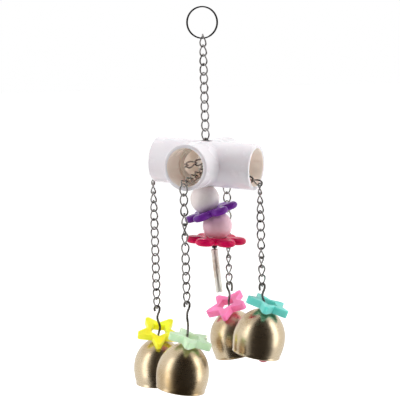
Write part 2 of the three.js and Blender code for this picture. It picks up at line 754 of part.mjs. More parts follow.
// A bead with a blind hole for the clapper's wire, its middle at zero
function clapperBead() {
  const radius = CLAPPER_BEAD / 2;
  const bore = CLAPPER_BORE / 2;
  const arcSteps = 6;
  const edge = Math.asin(bore / radius);
  const profile = Array.from({ length: arcSteps + 1 }, (_, i) => {
    const angle = Math.PI - ((Math.PI - edge) * i) / arcSteps;
    return [radius * Math.sin(angle), radius * Math.cos(angle)];
  });
  const floor = radius * Math.cos(edge) - CLAPPER_SEAT - CLEARANCE;
  return revolve([[0, -radius], ...profile.slice(1), [bore, floor], [0, floor]], 10);
}

function addClapper(parent, set, hold) {
  const pivot = addPivot(parent, `${set.name}_clapper_swing`, hold, ACROSS);
  const top = along(hold, UP, wireGap(HOOK_WIRE, CLAPPER_WIRE));
  const beadMiddle = along(hold, UP, -set.clapper);
  const beadTop = along(beadMiddle, UP, Math.sqrt(CLAPPER_BEAD ** 2 - CLAPPER_BORE ** 2) / 2);
  const points = [
    ...eyePoints(top, TOWARDS, CLAPPER_EYE),
    along(top, UP, -EYE_NECK * CLAPPER_EYE),
    along(beadTop, UP, CLAPPER_LEAD),
    along(beadTop, UP, -CLAPPER_SEAT),
  ];
  addMesh(pivot, `${set.name}_clapper_wire`, bendWire(points, CLAPPER_WIRE, 14), METALS.wire);
  const geometry = clapperBead().translate(...beadMiddle.toArray());
  addMesh(pivot, `${set.name}_clapper_bead`, geometry, plastic(0xd8566b, 0.35));
}

function addBellSet(parent, set, hookHold) {
  const pivot = addPivot(parent, `${set.name}_hook_swing`, hookHold, TOWARDS);
  const hookTop = along(hookHold, UP, wireGap(HOOK_WIRE, LINK_WIRE));
  const crown = along(along(hookTop, UP, -set.shank), ACROSS, set.crownAcross);
  const eyeMiddle = along(crown, ACROSS, set.eyeSide * EYE_BEND);
  eyeMiddle.z -= BELL_WALL + EYE_DROP + HOOK_WIRE / 2 + EYE_BEND;
  const hook = bendWire(hookPoints(set, hookTop, crown, eyeMiddle), HOOK_WIRE, 28);
  addMesh(pivot, `${set.name}_hook_wire`, hook, METALS.wire);

  const bellAxis = UP.clone().applyAxisAngle(TOWARDS, -rad(set.bellLean));
  const bellPivot = addPivot(pivot, `${set.name}_bell_spin`, crown, bellAxis);
  addMesh(bellPivot, `${set.name}_bell`, orient(bellCup(), bellAxis, ACROSS, crown), METALS.brass);

  // The star lies on the crown, so its underside touches the dome wherever its lean takes it.
  const starAxis = UP.clone().addScaledVector(ACROSS, Math.tan(rad(set.starLean)));
  starAxis.addScaledVector(TOWARDS, Math.tan(rad(set.starTip))).normalize();
  const upright = bellAxis.dot(starAxis);
  const domeReach = Math.hypot((BELL_DIAMETER / 2) * Math.sqrt(1 - upright ** 2), BELL_DOME * upright);
  const lift = domeReach - BELL_DOME * upright + CLEARANCE + STAR_THICKNESS / 2;
  const downhill = starAxis.clone().multiplyScalar(starAxis.z).sub(UP).normalize();
  const starAt = along(along(crown, UP, lift / starAxis.z), downhill, set.starSlide);
  const starPivot = addPivot(pivot, `${set.name}_star_spin`, starAt, starAxis);
  const starGeometry = orient(star().rotateZ(rad(set.starTurn)), starAxis, ACROSS, starAt);
  addMesh(starPivot, `${set.name}_star`, starGeometry, plastic(set.colour, 0.45));

  addClapper(pivot, set, along(eyeMiddle, UP, -EYE_BEND));
}

// The yaw of each hanging link, from the lip through the set's turns to the hook
function hangingYaw(set, links, startYaw, endYaw) {
  const nearest = (yaw, to) => yaw + 180 * Math.round((to - yaw) / 180);
  const turns = set.turns.map(([share, turn]) => [share, SHOWN_TURN + turn]);
  const first = nearest(startYaw, turns[0][1]);
  const last = nearest(endYaw, turns[turns.length - 1][1]);
  const keys = [[0, first], ...turns, [1, last]];
  return (i) => {
    const share = i / (links - 1);
    const next = Math.max(1, keys.findIndex(([at]) => at >= share));
    const [[from, before], [to, after]] = [keys[next - 1], keys[next]];
    return THREE.MathUtils.mapLinear(share, from, to, before, after);
  };
}

// A side chain: taut from the joining ring over the lip, then straight down to the hook
function addSide(set) {
  const arm = headingVector(set.heading);
  const nearSide = Math.sign(arm.dot(joiningPlane));
  const height = set.stack * JOINING_STACK - JOINING_SAG;
  const ringReach = nearSide * Math.sqrt(JOINING_RADIUS ** 2 - height ** 2);
  const ringWire = along(along(centre, joiningPlane, ringReach), UP, height);
  const lipOut = arm.clone().multiplyScalar(ARM_LENGTH + LIP_OVERHANG);
  const lip = onFitting(along(lipOut, UP, LIP_RISE - SOCKET_DIAMETER / 2));
  const outwards = lip.clone().sub(ringWire).normalize();
  const innerStart = along(ringWire, outwards, -joiningGap / 2);
  const innerLinks = Math.round(innerStart.distanceTo(lip) / LINK_PITCH);
  const innerRuns = layChain(innerStart, lip, innerLinks, joiningGap, LINK_GAP, () => LINK_TWIST / 2);
  addRuns(body, `${set.name}_inner_chain`, innerRuns, 1);

  // The first hanging link lies in the round end of the lip link, low on its outer side.
  const swing = arm.clone().cross(UP);
  const hangTop = along(along(lip, outwards, LINK_GAP / 2 - LIP_SEAT), swing, -LIP_ASIDE);
  const hangStart = along(hangTop, UP, -LINK_GAP / 2);
  const hookGap = wireGap(HOOK_WIRE, LINK_WIRE);
  const hangEnd = new THREE.Vector3(hangStart.x, hangStart.y, centre.z - set.drop);
  const links = Math.round(hangStart.distanceTo(hangEnd) / LINK_PITCH);
  const startYaw = set.heading + 90 + LINK_TWIST / 2 - LIP_YAW;
  const endYaw = SHOWN_TURN - 90 - LINK_TWIST / 2;
  const yawOf = hangingYaw(set, links, startYaw, endYaw);
  const runs = layChain(hangStart, hangEnd, links, LINK_GAP, hookGap, yawOf);

  const split = Math.floor(runs.length / 2);
  const upper = addPivot(body, `${set.name}_lip_swing`, hangTop, swing);
  addRuns(upper, `${set.name}_chain`, runs.slice(0, split), 1);
  const lower = addPivot(upper, `${set.name}_chain_bend`, runs[split].hold, swing);
  addRuns(lower, `${set.name}_chain`, runs.slice(split), split + 1);
  addBellSet(lower, set, along(hangEnd, UP, -hookGap / 2));
}

SETS.forEach(addSide);

export default toy;
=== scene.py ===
# %% [markdown]
# # A hanging bell toy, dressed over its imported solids
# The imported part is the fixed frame: every solid is already in its place, in metres. This lesson models
# each piece again with finer forms, at the same place, and gives it a finish made of shader nodes.

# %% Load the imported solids
import json
import math

import bpy
from mathutils import Matrix, Quaternion, Vector


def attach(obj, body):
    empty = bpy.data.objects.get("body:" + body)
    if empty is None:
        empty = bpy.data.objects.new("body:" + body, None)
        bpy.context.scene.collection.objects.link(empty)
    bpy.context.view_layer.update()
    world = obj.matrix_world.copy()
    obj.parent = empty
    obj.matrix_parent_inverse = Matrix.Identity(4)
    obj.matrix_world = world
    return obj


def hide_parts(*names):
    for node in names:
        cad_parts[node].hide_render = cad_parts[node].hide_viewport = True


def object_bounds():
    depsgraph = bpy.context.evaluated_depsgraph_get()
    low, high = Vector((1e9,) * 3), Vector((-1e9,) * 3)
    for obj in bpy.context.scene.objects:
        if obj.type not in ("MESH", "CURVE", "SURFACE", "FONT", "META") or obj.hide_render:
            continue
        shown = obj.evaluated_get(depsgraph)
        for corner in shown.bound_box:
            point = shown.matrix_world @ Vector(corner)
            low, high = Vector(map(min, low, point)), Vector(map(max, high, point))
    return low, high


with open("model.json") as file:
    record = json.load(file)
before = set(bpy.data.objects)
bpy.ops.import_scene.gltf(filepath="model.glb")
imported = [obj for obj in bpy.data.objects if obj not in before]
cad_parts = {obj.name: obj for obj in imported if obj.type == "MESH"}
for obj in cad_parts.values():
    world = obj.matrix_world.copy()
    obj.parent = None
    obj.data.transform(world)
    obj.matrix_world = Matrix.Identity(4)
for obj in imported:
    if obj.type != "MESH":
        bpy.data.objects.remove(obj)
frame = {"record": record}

cad_low, cad_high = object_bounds()
BODY_OF = {}
for body, members in frame["record"]["behaviour"]["bodies"].items():
    for node in members:
        BODY_OF[node] = body

# %% [markdown]
# ## Directions and sizes
# The toy was measured in millimetres, so the sizes below are millimetres and MM turns them into metres.
# The toy hangs from the origin, and it is shown turned by 21 degrees: ACROSS runs to the right as it is
# shown, and TOWARDS runs to whoever looks at it. A profile is drawn upright, from its axis OUT and UP, and
# a direction counts as upright when its rise is past STEEP.

# %% Directions, and the sizes that several pieces share
MM = 0.001
UP = Vector((0, 0, 1))
OUT = Vector((1, 0, 0))
STEEP = 0.9
SHOWN_TURN = 21
CLEARANCE = 0.3
HOOKED_GAP = 0.12


def heading(degrees):
    angle = math.radians(degrees)
    return Vector((math.cos(angle), math.sin(angle), 0))


def xz(x, z):
    return Vector((x, 0, z))


def turned(vector, axis, degrees):
    return Quaternion(axis, math.radians(degrees)) @ vector


def wire_gap(one, other):
    return (one + other) / 2 + CLEARANCE + HOOKED_GAP


ACROSS = heading(SHOWN_TURN)
TOWARDS = heading(SHOWN_TURN - 90)
print("across", ACROSS, "towards", TOWARDS)

# %% [markdown]
# ## Tools of the bench
# By hand, each piece starts from a primitive, is shaped in edit mode and is set down where it belongs.
# A few helpers keep that short: one draws a line by extruding a single vertex, one spins such a line into
# a turned piece, one bends a wire along it, and one sets the finished piece down so that its object stays
# at the origin and its place is in the mesh, as the solids have it.

# %% Selecting, and working in edit mode
WELD = 0.01 * MM


def pick(*pieces):
    if bpy.context.mode != "OBJECT":
        bpy.ops.object.mode_set(mode="OBJECT")
    bpy.ops.object.select_all(action="DESELECT")
    for piece in pieces:
        piece.select_set(True)
    if pieces:
        bpy.context.view_layer.objects.active = pieces[0]


def set_all(thing, **settings):
    for key, value in settings.items():
        setattr(thing, key, value)


def add_new(operator, **settings):
    pick()
    operator(**settings)
    return bpy.context.active_object


def convert(piece, kind):
    pick(piece)
    bpy.ops.object.convert(target=kind)
    return bpy.context.active_object


def edit_all(piece):
    pick(piece)
    bpy.ops.object.mode_set(mode="EDIT")
    bpy.ops.mesh.select_mode(type="VERT")
    bpy.ops.mesh.select_all(action="SELECT")


def edit_edges(piece, wanted):
    pick(piece)
    mesh = piece.data
    for parts in (mesh.vertices, mesh.edges, mesh.polygons):
        parts.foreach_set("select", [False] * len(parts))
    for edge in mesh.edges:
        edge.select = wanted(*(mesh.vertices[i].co / MM for i in edge.vertices))
    bpy.context.tool_settings.mesh_select_mode = (False, True, False)
    bpy.ops.object.mode_set(mode="EDIT")


def leave_edit():
    bpy.ops.object.mode_set(mode="OBJECT")


def close_up(piece):
    edit_all(piece)
    bpy.ops.mesh.remove_doubles(threshold=WELD)
    bpy.ops.mesh.normals_make_consistent(inside=False)
    leave_edit()


def apply_modifier(piece, kind, **settings):
    modifier = piece.modifiers.new(kind.title(), kind)
    set_all(modifier, **settings)
    pick(piece)
    bpy.ops.object.modifier_apply(modifier=modifier.name)


def throw_away(piece):
    pick(piece)
    bpy.ops.object.delete()


def join(*pieces):
    pick(*pieces)
    bpy.ops.object.join()


def cut(piece, tool):
    apply_modifier(piece, "BOOLEAN", object=tool, operation="DIFFERENCE", solver="EXACT")
    throw_away(tool)


print("selection helpers ready")

# %% Drawing, turning and bending
LINE_WELD = 0.001 * MM
WIRE_ROUNDNESS = 3


def arc_points(middle, first, second, radius, start, end, count):
    angles = [math.radians(start + (end - start) * i / (count - 1)) for i in range(count)]
    return [middle + first * radius * math.cos(a) + second * radius * math.sin(a) for a in angles]


def draw_line(name, points, closed=False):
    piece = add_new(bpy.ops.mesh.primitive_plane_add, size=MM)
    piece.name = name
    edit_all(piece)
    bpy.ops.mesh.merge(type="CENTER")
    bpy.ops.transform.translate(value=points[0] * MM)
    stops = [*points, points[0]] if closed else points
    for before, after in zip(stops, stops[1:]):
        bpy.ops.mesh.extrude_vertices_move(TRANSFORM_OT_translate={"value": (after - before) * MM})
    if closed:
        bpy.ops.mesh.select_all(action="SELECT")
        bpy.ops.mesh.remove_doubles(threshold=LINE_WELD)
    leave_edit()
    return piece


def turn_profile(name, profile, steps, axis=UP):
    piece = draw_line(name, profile)
    edit_all(piece)
    bpy.ops.mesh.spin(steps=steps, angle=2 * math.pi, center=(0, 0, 0), axis=axis)
    close_up(piece)
    return piece


def bend_wire(name, points, diameter, steps=8):
    piece = convert(draw_line(name, points), "CURVE")
    bpy.ops.object.mode_set(mode="EDIT")
    bpy.ops.curve.select_all(action="SELECT")
    bpy.ops.curve.spline_type_set(type="BEZIER")
    bpy.ops.curve.handle_type_set(type="AUTOMATIC")
    leave_edit()
    set_all(piece.data, dimensions="3D", resolution_u=steps, use_fill_caps=True)
    set_all(piece.data, bevel_depth=diameter / 2 * MM, bevel_resolution=WIRE_ROUNDNESS)
    piece = convert(piece, "MESH")
    piece.name = name
    close_up(piece)
    return piece


print("drawing helpers ready")

# %% Copying, setting down and dressing
FINISHES = {}


def stand(z_direction, x_direction, place):
    z = z_direction.normalized()
    y = z.cross(x_direction).normalized()
    x = y.cross(z)
    matrix = Matrix((x, y, z)).transposed().to_4x4()
    matrix.translation = place * MM
    return matrix


def about_z(degrees):
    return Matrix.Rotation(math.radians(degrees), 4, "Z")


def copy_of(piece, name):
    pick(piece)
    bpy.ops.object.duplicate()
    copy = bpy.context.active_object
    copy.name = name
    return copy


def set_down(piece, matrix):
    pick(piece)
    piece.matrix_world = matrix
    bpy.ops.object.transform_apply(location=True, rotation=True, scale=True)


def smooth(piece, degrees):
    pick(piece)
    bpy.ops.object.shade_smooth_by_angle(angle=math.radians(degrees))


def dress(piece, node, slot, degrees=None):
    if degrees:
        smooth(piece, degrees)
    piece.name = f"{node}_fine"
    piece.data.name = piece.name
    piece.data.materials.clear()
    piece.data.materials.append(FINISHES[slot])
    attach(piece, BODY_OF[node])
    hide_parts(node)
    print(node, len(piece.data.polygons), "faces in", slot)


print("placing helpers ready")

# %% [markdown]
# ## Shared effects
# Three effects come back in most finishes, so each is a node group with its own values in each material.
# Handling is the fine wear that every touched surface has: patches of different gloss, and hairline
# scratches. Moulding is the faint mottle and orange peel of cast plastic. Tarnish lets a metal's colour
# drift between its clean and its dulled state. A group puts out only colours and values.


# %% A node group with named sockets
def new_group(name, inputs, outputs):
    group = bpy.data.node_groups.new(name, "ShaderNodeTree")
    for label, value in inputs.items():
        kind = "NodeSocketColor" if isinstance(value, tuple) else "NodeSocketFloat"
        group.interface.new_socket(label, in_out="INPUT", socket_type=kind).default_value = value
    for label in outputs:
        kind = "NodeSocketColor" if label == "Colour" else "NodeSocketFloat"
        group.interface.new_socket(label, in_out="OUTPUT", socket_type=kind)
    given = group.nodes.new("NodeGroupInput")
    result = group.nodes.new("NodeGroupOutput")
    return group, given.outputs, result.inputs


def add_node(tree, kind, **settings):
    node = tree.nodes.new(kind)
    set_all(node, **settings)
    return node


def plug(socket, value):
    if isinstance(value, (int, float, tuple)):
        socket.default_value = value
    else:
        socket.id_data.links.new(value, socket)


def feed(sockets, **values):
    for label, value in values.items():
        plug(sockets[label.replace("_", " ")], value)


def add_noise(tree, coordinates, scale, detail):
    noise = add_node(tree, "ShaderNodeTexNoise")
    feed(noise.inputs, Vector=coordinates, Scale=scale, Detail=detail)
    return noise.outputs["Fac"]


def add_math(tree, operation, first, second):
    node = add_node(tree, "ShaderNodeMath", operation=operation)
    plug(node.inputs[0], first)
    plug(node.inputs[1], second)
    return node.outputs["Value"]


def add_range(tree, value, low, high, to_low=0.0, to_high=1.0):
    node = add_node(tree, "ShaderNodeMapRange", interpolation_type="SMOOTHSTEP")
    feed(node.inputs, Value=value, From_Min=low, From_Max=high, To_Min=to_low, To_Max=to_high)
    return node.outputs["Result"]


def add_mix(tree, factor, first, second):
    node = add_node(tree, "ShaderNodeMix", data_type="RGBA")
    plug(node.inputs["Factor"], factor)
    for label, value in (("A", first), ("B", second)):
        plug(next(s for s in node.inputs if s.name == label and s.type == "RGBA"), value)
    return next(s for s in node.outputs if s.type == "RGBA")


def object_place(tree):
    return add_node(tree, "ShaderNodeTexCoord").outputs["Object"]


print("node helpers ready")

# %% Handling: patches of gloss and hairline scratches
wear_inputs = {"Smooth": 0.2, "Worn": 0.35, "Patch Scale": 90.0}
handling, given, result = new_group("Handling", wear_inputs, ("Roughness", "Height"))
place = object_place(handling)
patches = add_noise(handling, place, given["Patch Scale"], 5.0)
stretch = add_node(handling, "ShaderNodeMapping")
feed(stretch.inputs, Vector=place, Scale=(1.0, 1.0, 0.06), Rotation=(0.5, 0.3, 0.9))
threads = add_noise(handling, stretch.outputs["Vector"], 2600.0, 2.0)
hairlines = add_range(handling, threads, 0.62, 0.7)
gloss = add_range(handling, patches, 0.35, 0.7, given["Smooth"], given["Worn"])
scratched = add_math(handling, "MULTIPLY", hairlines, 0.08)
feed(result, Roughness=add_math(handling, "ADD", gloss, scratched))
feed(result, Height=add_math(handling, "MULTIPLY", hairlines, -1.0))
print("group", handling.name, len(handling.nodes), "nodes")

# %% Moulding: the mottle and orange peel of cast plastic
cast_inputs = {"Body": (1, 1, 1, 1), "Deep": (0.8, 0.8, 0.8, 1), "Grain Scale": 700.0}
moulding, given, result = new_group("Moulding", cast_inputs, ("Colour", "Height"))
place = object_place(moulding)
clouds = add_range(moulding, add_noise(moulding, place, 60.0, 4.0), 0.3, 0.75)
feed(result, Colour=add_mix(moulding, clouds, given["Body"], given["Deep"]))
feed(result, Height=add_noise(moulding, place, given["Grain Scale"], 3.0))
print("group", moulding.name, len(moulding.nodes), "nodes")

# %% Tarnish: a metal between its clean and its dulled colour
metal_inputs = {"Clean": (1, 1, 1, 1), "Dull": (0.4, 0.4, 0.4, 1), "Spot Scale": 240.0}
tarnish, given, result = new_group("Tarnish", metal_inputs, ("Colour",))
place = object_place(tarnish)
spots = add_range(tarnish, add_noise(tarnish, place, given["Spot Scale"], 6.0), 0.45, 0.72)
feed(result, Colour=add_mix(tarnish, spots, given["Clean"], given["Dull"]))
print("group", tarnish.name, len(tarnish.nodes), "nodes")

# %% [markdown]
# ## Finishes
# Each finish is a Principled shader fed by the groups: plastic takes Moulding and Handling, metal takes
# Tarnish and Handling. What is the same all over a piece, such as its shine, is set on the shader itself.
# The bells are spun and then brushed while they turn, so their lines run round them: they follow an
# attribute, each point's height on its bell, which the copies keep wherever they hang. The inner wall of
# the pipes has an attribute too: there the white is painted a warm beige, a painted shade that stands in
# for the shade inside the bore, and more light soaks through it.


# %% Starting a finish
def new_finish(name):
    FINISHES[name] = bpy.data.materials.new(name)
    FINISHES[name].use_nodes = True
    tree = FINISHES[name].node_tree
    return tree, tree.nodes["Principled BSDF"].inputs


def add_group(tree, group, **values):
    node = add_node(tree, "ShaderNodeGroup", node_tree=group)
    feed(node.inputs, **values)
    return node.outputs


def add_bump(tree, height, distance, strength, shader, before=None):
    bump = add_node(tree, "ShaderNodeBump")
    feed(bump.inputs, Strength=strength, Distance=distance * MM, Height=height)
    if before:
        feed(bump.inputs, Normal=before)
    feed(shader, Normal=bump.outputs["Normal"])
    return bump.outputs["Normal"]


def paint(red, green, blue):
    def linear(value):
        share = value / 255
        return share / 12.92 if share <= 0.04045 else ((share + 0.055) / 1.055) ** 2.4

    return (linear(red), linear(green), linear(blue), 1.0)


def plastic_finish(name, body, deep, smooth_at, worn_at, grain=0.02, shine=0.5, glow=0.0, glow_depth=2.5):
    tree, shader = new_finish(name)
    cast = add_group(tree, moulding, Body=body, Deep=deep)
    worn = add_group(tree, handling, Smooth=smooth_at, Worn=worn_at)
    feed(shader, Base_Color=cast["Colour"], Roughness=worn["Roughness"])
    peel = add_bump(tree, cast["Height"], grain, 0.35, shader)
    add_bump(tree, worn["Height"], 0.01, 0.3, shader, peel)
    feed(shader, Specular_IOR_Level=shine, Subsurface_Radius=(1.0, 0.8, 0.8))
    feed(shader, Subsurface_Weight=glow, Subsurface_Scale=glow_depth * MM)
    return tree, shader


def metal_finish(name, clean, dull, smooth_at, worn_at, spots=240.0, metallic=1.0):
    tree, shader = new_finish(name)
    colour = add_group(tree, tarnish, Clean=clean, Dull=dull, Spot_Scale=spots)
    worn = add_group(tree, handling, Smooth=smooth_at, Worn=worn_at, Patch_Scale=300.0)
    feed(shader, Base_Color=colour["Colour"], Roughness=worn["Roughness"], Metallic=metallic)
    add_bump(tree, worn["Height"], 0.01, 0.4, shader)


print("finish helpers ready")

# %% Metals
metal_finish("dark_nickel", paint(40, 38, 38), paint(18, 17, 17), 0.16, 0.32)
metal_finish("nickel", paint(176, 173, 171), paint(80, 75, 72), 0.06, 0.18)
metal_finish("steel_wire", paint(132, 126, 122), paint(66, 60, 57), 0.25, 0.45)
rolled_skin = (paint(226, 222, 213), paint(198, 178, 162))
metal_finish("rolled_metal", *rolled_skin, 0.45, 0.6, spots=120.0, metallic=0.3)

tree, shader = new_finish("brass")
bell_skin = {"Clean": paint(214, 196, 166), "Dull": paint(178, 152, 112)}
colour = add_group(tree, tarnish, **bell_skin, Spot_Scale=45.0)
height = add_node(tree, "ShaderNodeAttribute", attribute_name="bell_height").outputs["Fac"]
lines = add_node(tree, "ShaderNodeTexNoise", noise_dimensions="1D")
feed(lines.inputs, W=height, Scale=9.0, Detail=6.0)
worn = add_group(tree, handling, Smooth=0.24, Worn=0.32, Patch_Scale=60.0)
streak = add_range(tree, lines.outputs["Fac"], 0.3, 0.7, -0.05, 0.05)
rough = add_math(tree, "ADD", worn["Roughness"], streak)
feed(shader, Base_Color=colour["Colour"], Roughness=rough, Metallic=1.0)
brushed = add_bump(tree, lines.outputs["Fac"], 0.03, 0.25, shader)
add_bump(tree, worn["Height"], 0.008, 0.25, shader, brushed)
print("metals", list(FINISHES))

# %% White plastic, and its inner wall
PIPE_GLOW = (0.4, 0.55)
PIPE_GLOW_DEPTH = (4 * MM, 12 * MM)

tree, shader = plastic_finish("white_plastic", paint(246, 241, 245), paint(240, 234, 240), 0.16, 0.3)
inner_share = add_node(tree, "ShaderNodeAttribute", attribute_name="inner_wall").outputs["Fac"]
outer_colour = shader["Base Color"].links[0].from_socket
# Painted shade: the inner wall is mixed to a warm beige that stands in for the shade inside the bore
feed(shader, Base_Color=add_mix(tree, inner_share, outer_colour, paint(254, 236, 222)))
feed(shader, Subsurface_Weight=add_range(tree, inner_share, 0.0, 1.0, *PIPE_GLOW))
feed(shader, Subsurface_Scale=add_range(tree, inner_share, 0.0, 1.0, *PIPE_GLOW_DEPTH))
print("white plastic", len(tree.nodes), "nodes")

# %% Other plastics
plastic_finish("ivory_bead", paint(252, 243, 239), paint(246, 234, 230), 0.22, 0.34, glow=0.15)
plastic_finish("pink_bead", paint(244, 204, 215), paint(235, 188, 202), 0.14, 0.26, glow=0.15)
plastic_finish("purple_flower", paint(126, 48, 168), paint(102, 32, 142), 0.22, 0.32, shine=0.2)
plastic_finish("crimson_flower", paint(220, 10, 86), paint(196, 5, 70), 0.24, 0.34, shine=0.15)
plastic_finish("black_sleeve", paint(34, 30, 31), paint(20, 18, 19), 0.5, 0.65, grain=0.05)
plastic_finish("red_bead", paint(206, 92, 108), paint(186, 70, 88), 0.28, 0.4)
STAR_COLOURS = {
    "left": (paint(254, 252, 62), paint(252, 246, 40)),
    "front": (paint(204, 230, 196), paint(188, 218, 180)),
    "back": (paint(255, 140, 188), paint(254, 120, 174)),
    "right": (paint(114, 208, 198), paint(92, 194, 184)),
}
for name, (body, deep) in STAR_COLOURS.items():
    plastic_finish(f"{name}_star", body, deep, 0.38, 0.5, glow=0.8, glow_depth=5)
print("finishes", list(FINISHES))

# %% [markdown]
# ## Camera
# The camera takes in the whole length of the toy from a little above. It stands far away, so that upright
# chains stay nearly parallel. The photograph leans a little, and the camera takes that lean.

# %% Camera
FRAME_CENTRE_DEPTH = 105.1
VIEW_TURN = 23.1
VIEW_RISE = 7.2
VIEW_DISTANCE = 1150
VIEW_ROLL = 1.6
VIEW_ASIDE = -4.93
VIEW_LOWER = 25
VIEW_LENS = 152.2

aim = UP * -(FRAME_CENTRE_DEPTH + VIEW_LOWER) + ACROSS * VIEW_ASIDE
rise = math.radians(VIEW_RISE)
backwards = heading(VIEW_TURN - 90) * math.cos(rise) + UP * math.sin(rise)
level = heading(VIEW_TURN)
roll = math.radians(VIEW_ROLL)
view_right = level * math.cos(roll) - backwards.cross(level) * math.sin(roll)
camera = add_new(bpy.ops.object.camera_add)
camera.matrix_world = stand(backwards, view_right, aim + backwards * VIEW_DISTANCE)
set_all(camera.data, lens=VIEW_LENS, sensor_width=36, clip_end=20)
bpy.context.scene.camera = camera
print("camera at", camera.location)

# %% [markdown]
# ## Split ring
# The hanger is a split ring: two turns of hard wire lying side by side. A torus would lose the two ends,
# so a small circle is screwed round the ring's axis for just under two turns, and its ends are capped.

# %% Split ring
RING_DIAMETER = 22
RING_WIRE = 0.95
RING_COIL_GAP = 0.45
RING_TURNS = 1.94
RING_HEADING = 37
RING_START = 28
RING_STEPS = 60
RING_SIDES = 12

ring_radius = (RING_DIAMETER - RING_WIRE) / 2
ring_centre = UP * (RING_WIRE - RING_DIAMETER / 2)
coil_rise = RING_WIRE + RING_COIL_GAP
bottom_turn = 1.5 - RING_START / 360

split_ring = add_new(bpy.ops.mesh.primitive_circle_add, vertices=RING_SIDES, radius=RING_WIRE / 2 * MM)
edit_all(split_ring)
bpy.ops.transform.rotate(value=math.pi / 2, orient_axis="X", center_override=(0, 0, 0))
bpy.ops.transform.translate(value=(ring_radius * MM, 0, 0))
leave_edit()
turns = round(RING_TURNS * RING_STEPS)
apply_modifier(
    split_ring,
    "SCREW",
    angle=RING_TURNS * 2 * math.pi,
    screw_offset=coil_rise * RING_TURNS * MM,
    steps=turns,
    render_steps=turns,
)
edit_all(split_ring)
bpy.ops.mesh.fill_holes(sides=0)
close_up(split_ring)
ring_axis = heading(RING_HEADING - 90)
coil_start = ring_centre - ring_axis * coil_rise * bottom_turn
ring_place = stand(ring_axis, heading(RING_HEADING), coil_start)
set_down(split_ring, ring_place @ about_z(RING_START - 90))
dress(split_ring, "split_ring", "dark_nickel", degrees=40)

# %% [markdown]
# ## Curb chain
# A curb link is an oval of wire that has been twisted, so that the links lie flat in each other. The oval
# is drawn point by point, bent as a wire, and twisted by a modifier that is then applied. That one link is
# copied along each stretch of chain, and the links of one stretch that moves as a whole become one piece.

# %% One curb link
LINK_PITCH = 6.3
LINK_WIDTH = 6
LINK_WIRE = 1.15
LINK_TWIST = 90
LINK_SQUARENESS = 0.75
LINK_POINTS = 28
LINKS_PER_RUN = 3
LINK_GAP = wire_gap(LINK_WIRE, LINK_WIRE)
link_half = (LINK_PITCH + LINK_WIRE) / 2


def oval_point(i):
    angle = math.pi / 2 + 2 * math.pi * i / LINK_POINTS
    across = math.cos(angle)
    swell = math.copysign(abs(across) ** LINK_SQUARENESS, across)
    return xz(swell * (LINK_WIDTH - LINK_WIRE) / 2, link_half * math.sin(angle))


oval = draw_line("curb_link", [oval_point(i) for i in range(LINK_POINTS)], closed=True)
curb_link = convert(oval, "CURVE")
set_all(curb_link.data, bevel_depth=LINK_WIRE / 2 * MM, bevel_resolution=2)
curb_link = convert(curb_link, "MESH")
close_up(curb_link)
twist_span = LINK_TWIST * (link_half + LINK_WIRE / 2) / link_half
apply_modifier(
    curb_link, "SIMPLE_DEFORM", deform_method="TWIST", deform_axis="Z", angle=-math.radians(twist_span)
)
smooth(curb_link, degrees=60)
print("curb link", len(curb_link.data.polygons), "faces")


# %% Laying a stretch of chain
def lay_chain(start, end, links, start_gap, end_gap, yaw_of):
    travel = end - start
    spacing = travel.length / links
    travel.normalize()
    level = OUT if abs(travel.z) > STEEP else UP.cross(travel)
    run_count = max(1, math.floor(links / LINKS_PER_RUN + 0.5))
    runs = [[] for _ in range(run_count)]
    for i in range(links):
        runs[i * run_count // links].append(i)
    firsts = [run[0] for run in runs]
    inner_gaps = [LINK_GAP if i in firsts else LINK_WIRE for i in range(1, links)]
    gaps = [start_gap, *inner_gaps, end_gap]

    def place_of(i):
        upper = start + travel * (i * spacing - gaps[i] / 2)
        lower = start + travel * ((i + 1) * spacing + gaps[i + 1] / 2)
        stretch = Matrix.Scale((upper - lower).length / 2 / link_half, 4, UP)
        return stand(-travel, level, (upper + lower) / 2) @ about_z(yaw_of(i)) @ stretch

    return [[place_of(i) for i in run] for run in runs]


def hang_runs(name, runs):
    for number, places in enumerate(runs, 1):
        links = [copy_of(curb_link, f"{name}_link") for _ in places]
        for link, place in zip(links, places):
            set_down(link, place)
        join(*links)
        dress(links[0], f"{name}_{number}", "nickel")
    print(name, [len(places) for places in runs], "links")


print("chain helpers ready")

# %% Top chain
TOP_LINKS = 13
TOP_RING_YAW = -25
TOP_CHAIN_YAW = 21
TOP_END_YAW = 17
TOP_YAW_LINKS = 4
JOINING_RADIUS = 4.7
JOINING_WIRE = 1.6

ring_hold_gap = wire_gap(RING_WIRE, LINK_WIRE) + RING_WIRE
joining_gap = wire_gap(JOINING_WIRE, LINK_WIRE)
top_start = ring_centre - UP * (ring_radius - ring_hold_gap / 2)
top_end = top_start - UP * TOP_LINKS * LINK_PITCH
centre = top_end + UP * (joining_gap / 2 - JOINING_RADIUS)


def top_yaw(i):
    from_top = min(1, i / TOP_YAW_LINKS)
    from_end = min(1, (TOP_LINKS - 1 - i) / TOP_YAW_LINKS)
    start = TOP_RING_YAW + (TOP_CHAIN_YAW - TOP_RING_YAW) * from_top
    return TOP_END_YAW + (start - TOP_END_YAW) * from_end


hang_runs("top_chain", lay_chain(top_start, top_end, TOP_LINKS, ring_hold_gap, joining_gap, top_yaw))
print("joining ring's middle at", centre)

# %% [markdown]
# ## Pipe fitting
# The white cross is a four-way plumbing fitting with a socket in each arm. Four pipes pushed into one
# another would leave walls inside, so one arm is turned from its profile, walls, socket and rounded rim
# together, and mitred by two upright planes. Four copies then meet edge to edge along clean curves, and
# the inner corners of those curves get a small fillet, as a mould would give them.

